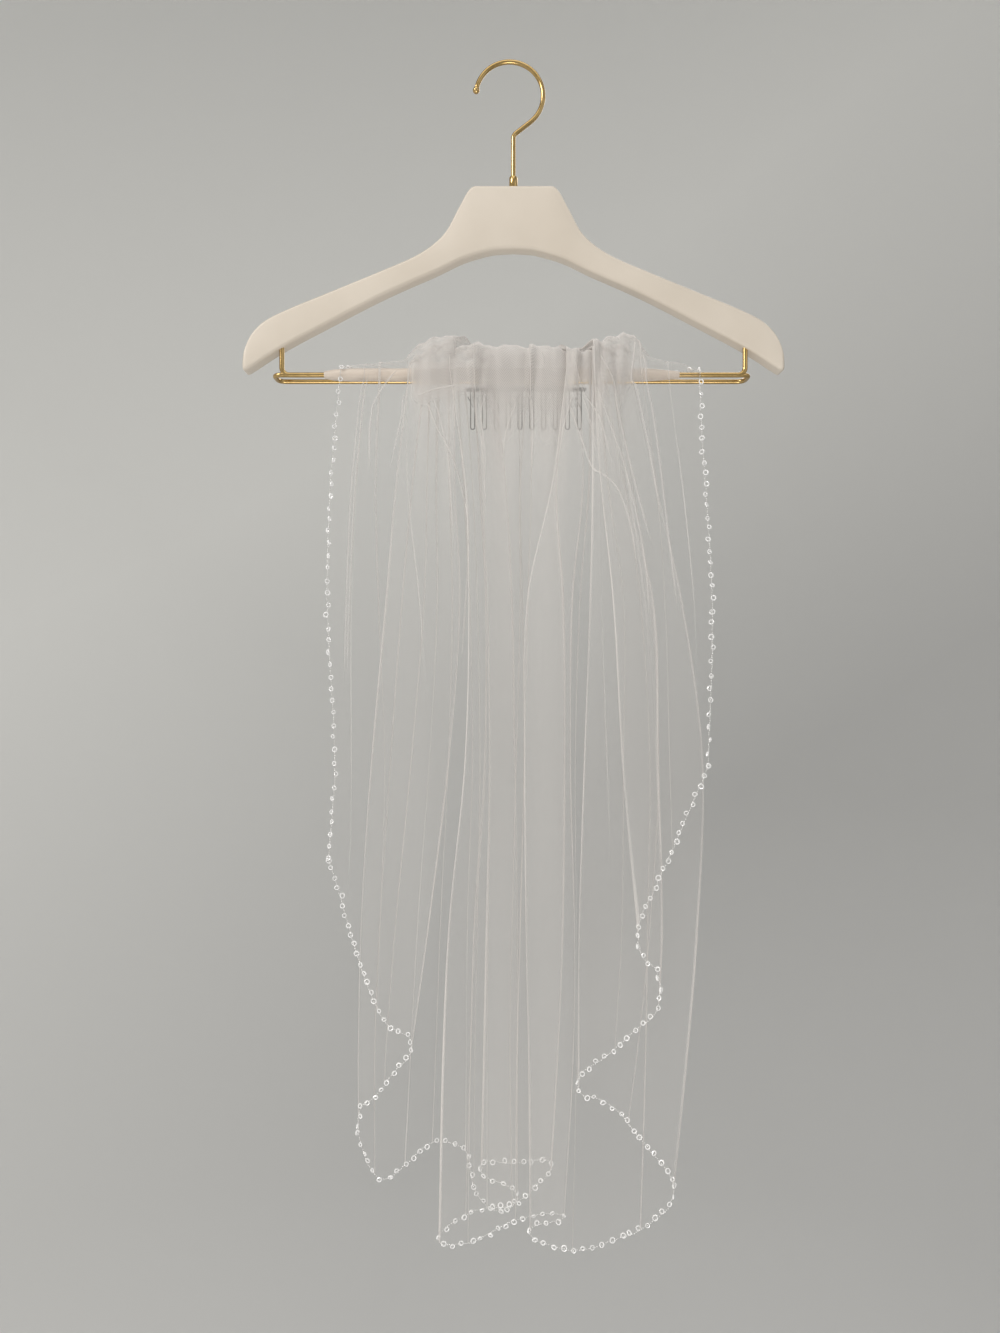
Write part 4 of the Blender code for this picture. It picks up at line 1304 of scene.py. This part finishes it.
def make_edging(grid, crystal_finish, bead_finish):
    """Ring crystals with seed beads between them, along both side edges and the hem."""
    normals = np.cross(directions(grid, 0), directions(grid, 1))
    normals /= np.maximum(np.linalg.norm(normals, axis=2, keepdims=True), 1e-9)
    paths = (
        (grid[:, 0], normals[:, 0], SIDE_CRYSTAL_PITCH),
        (grid[-1], normals[-1], HEM_CRYSTAL_PITCH),
        (grid[::-1, -1], normals[::-1, -1], SIDE_CRYSTAL_PITCH),
    )
    points, facing, edges, pitches, length = [], [], [], [], 0.0
    for path, outward, pitch in paths:
        reach = np.concatenate([[0.0], np.cumsum(np.linalg.norm(np.diff(path, axis=0), axis=1))])
        even = np.linspace(0.0, reach[-1], int(reach[-1] / EDGE_STEP))
        path, outward = eased(path, reach, even), eased(outward, reach, even)
        along = directions(path[:, None], 0)[:, 0]
        across = np.cross(outward, along)
        turn = edge_turn(path)[:, None]
        outward = outward * np.cos(turn) + across * np.sin(turn)
        edges += [(len(points) + i, len(points) + i + 1) for i in range(len(path) - 1)]
        points += path.tolist()
        facing += (outward / np.maximum(np.linalg.norm(outward, axis=1, keepdims=True), 1e-9)).tolist()
        pitches += [pitch * MM] * len(path)
        length += reach[-1]
    pieces = []
    for name, shape, tilt, slip, smallest, seed, finish in (
        ("edge_crystals", ring_crystal(), 0.4, 1.3, 0.80, 3, crystal_finish),
        ("edge_seed_beads", seed_shape(), 0.3, 0.3, 0.8, 8, bead_finish),
    ):
        own = pitches if name == "edge_crystals" else [SEED_PITCH * MM] * len(points)
        fields = {"cloth_normal": facing, "pitch": own}
        values = {"Shape": shape, "Finish": finish, "Tilt": tilt, "Slip": slip * MM}
        values.update(Smallest=smallest, Largest=1.08)
        pieces.append(made_by(bead_tree(name, seed), name, points, edges, fields, finish, **values))
    print("edging", round(length), "mm, triangles", [2 * len(p.data.polygons) for p in pieces])
    return pieces


def wire_tree(name):
    """Round wire along a path."""
    tree = Tree(name, Radius=("Float", 0.0005), Sides=("Int", 6), Finish=("Material", None))
    group = tree.into.outputs
    curve = tree.node("GeometryNodeMeshToCurve", {"Mesh": group["Geometry"]}).outputs[0]
    profile = tree.node(
        "GeometryNodeCurvePrimitiveCircle", {"Resolution": group["Sides"], "Radius": group["Radius"]},
    ).outputs[0]
    solid = tree.node(
        "GeometryNodeCurveToMesh", {"Curve": curve, "Profile Curve": profile, "Fill Caps": True},
    ).outputs[0]
    smooth = tree.node("GeometryNodeSetShadeSmooth", {"Geometry": solid}).outputs[0]
    real = tree.node("GeometryNodeRealizeInstances", {0: smooth}).outputs[0]
    painted = tree.node("GeometryNodeSetMaterial", {"Geometry": real, "Material": group["Finish"]})
    tree.finish(painted.outputs[0])
    return tree


def make_comb(material):
    """Wire teeth bent in one piece, bound to two spine wires by a coil and a lashing of the same wire."""
    paths = []
    teeth = COMB_TEETH // 2
    pitch = (COMB_RIGHT_X - COMB_LEFT_X) / teeth
    top = COMB_TOP_Z - 1.2
    tip = top - COMB_TOOTH_LENGTH
    legs, gaps = COMB_LEG_GAP / 2, (pitch - COMB_LEG_GAP) / 2
    snake = []
    for i in range(teeth):
        centre = COMB_LEFT_X + (i + 0.5) * pitch
        for step in range(9):
            angle = math.pi + math.pi * step / 8
            snake.append((centre + legs * math.cos(angle), COMB_Y + 0.9, tip + legs * (1 + math.sin(angle))))
        for step in range(9):
            angle = math.pi - math.pi * step / 8
            if i < teeth - 1:
                x = centre + pitch / 2 + gaps * math.cos(angle)
                snake.append((x, COMB_Y + 0.9, top + 1.2 * math.sin(angle)))
    snake = [(snake[0][0], COMB_Y + 0.9, top), *snake, (snake[-1][0], COMB_Y + 0.9, top)]
    paths.append(snake)
    stitches = 26
    lashing = []
    for i in range(stitches):
        x = COMB_LEFT_X + 1 + (COMB_RIGHT_X - COMB_LEFT_X - 6) * i / stitches
        lashing += [(x, COMB_Y - 0.8, top - 7), (x + 4.5, COMB_Y - 0.8, top - 16)]
    paths.append(lashing)
    for lift in (-1.1, 0.2):
        paths.append([(COMB_LEFT_X - 1, COMB_Y, top + lift), (COMB_RIGHT_X + 1, COMB_Y, top + lift)])
    turns, around = 62, 12
    coil = []
    for i in range(turns * around):
        angle = 2 * math.pi * i / around
        x = COMB_LEFT_X + (COMB_RIGHT_X - COMB_LEFT_X) * i / (turns * around)
        coil.append((x, COMB_Y + 0.3 + 1.3 * math.cos(angle), top - 0.4 + 1.7 * math.sin(angle)))
    points, edges = [], []
    for path in paths + [coil]:
        start = len(points)
        points += [(MIDDLE_X + x, y, z) for x, y, z in path]
        edges += [(start + i, start + i + 1) for i in range(len(path) - 1)]
    values = {"Radius": 0.5 * MM, "Sides": 6, "Finish": material}
    comb = made_by(wire_tree("comb_wire"), "wire_comb", points, edges, {}, material, "comb_wire", **values)
    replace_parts(comb, "comb")
    return comb


def main():
    set_camera()
    set_light()
    make_stage()
    gold = gold_wire()
    make_hanger_body(painted_wood())
    make_hook(gold)
    make_collar(gold)
    make_trouser_bar(gold)
    make_sleeve(sleeve_satin())
    comb = make_comb(comb_wire())
    veil, grid = make_veil(tulle())
    edging = make_edging(grid, crystal(), seed_bead())
    area = sum(face.area for face in veil.data.polygons)
    print("veil area", round(area, 3), "triangles", 2 * len(veil.data.polygons), grid.shape)


main()
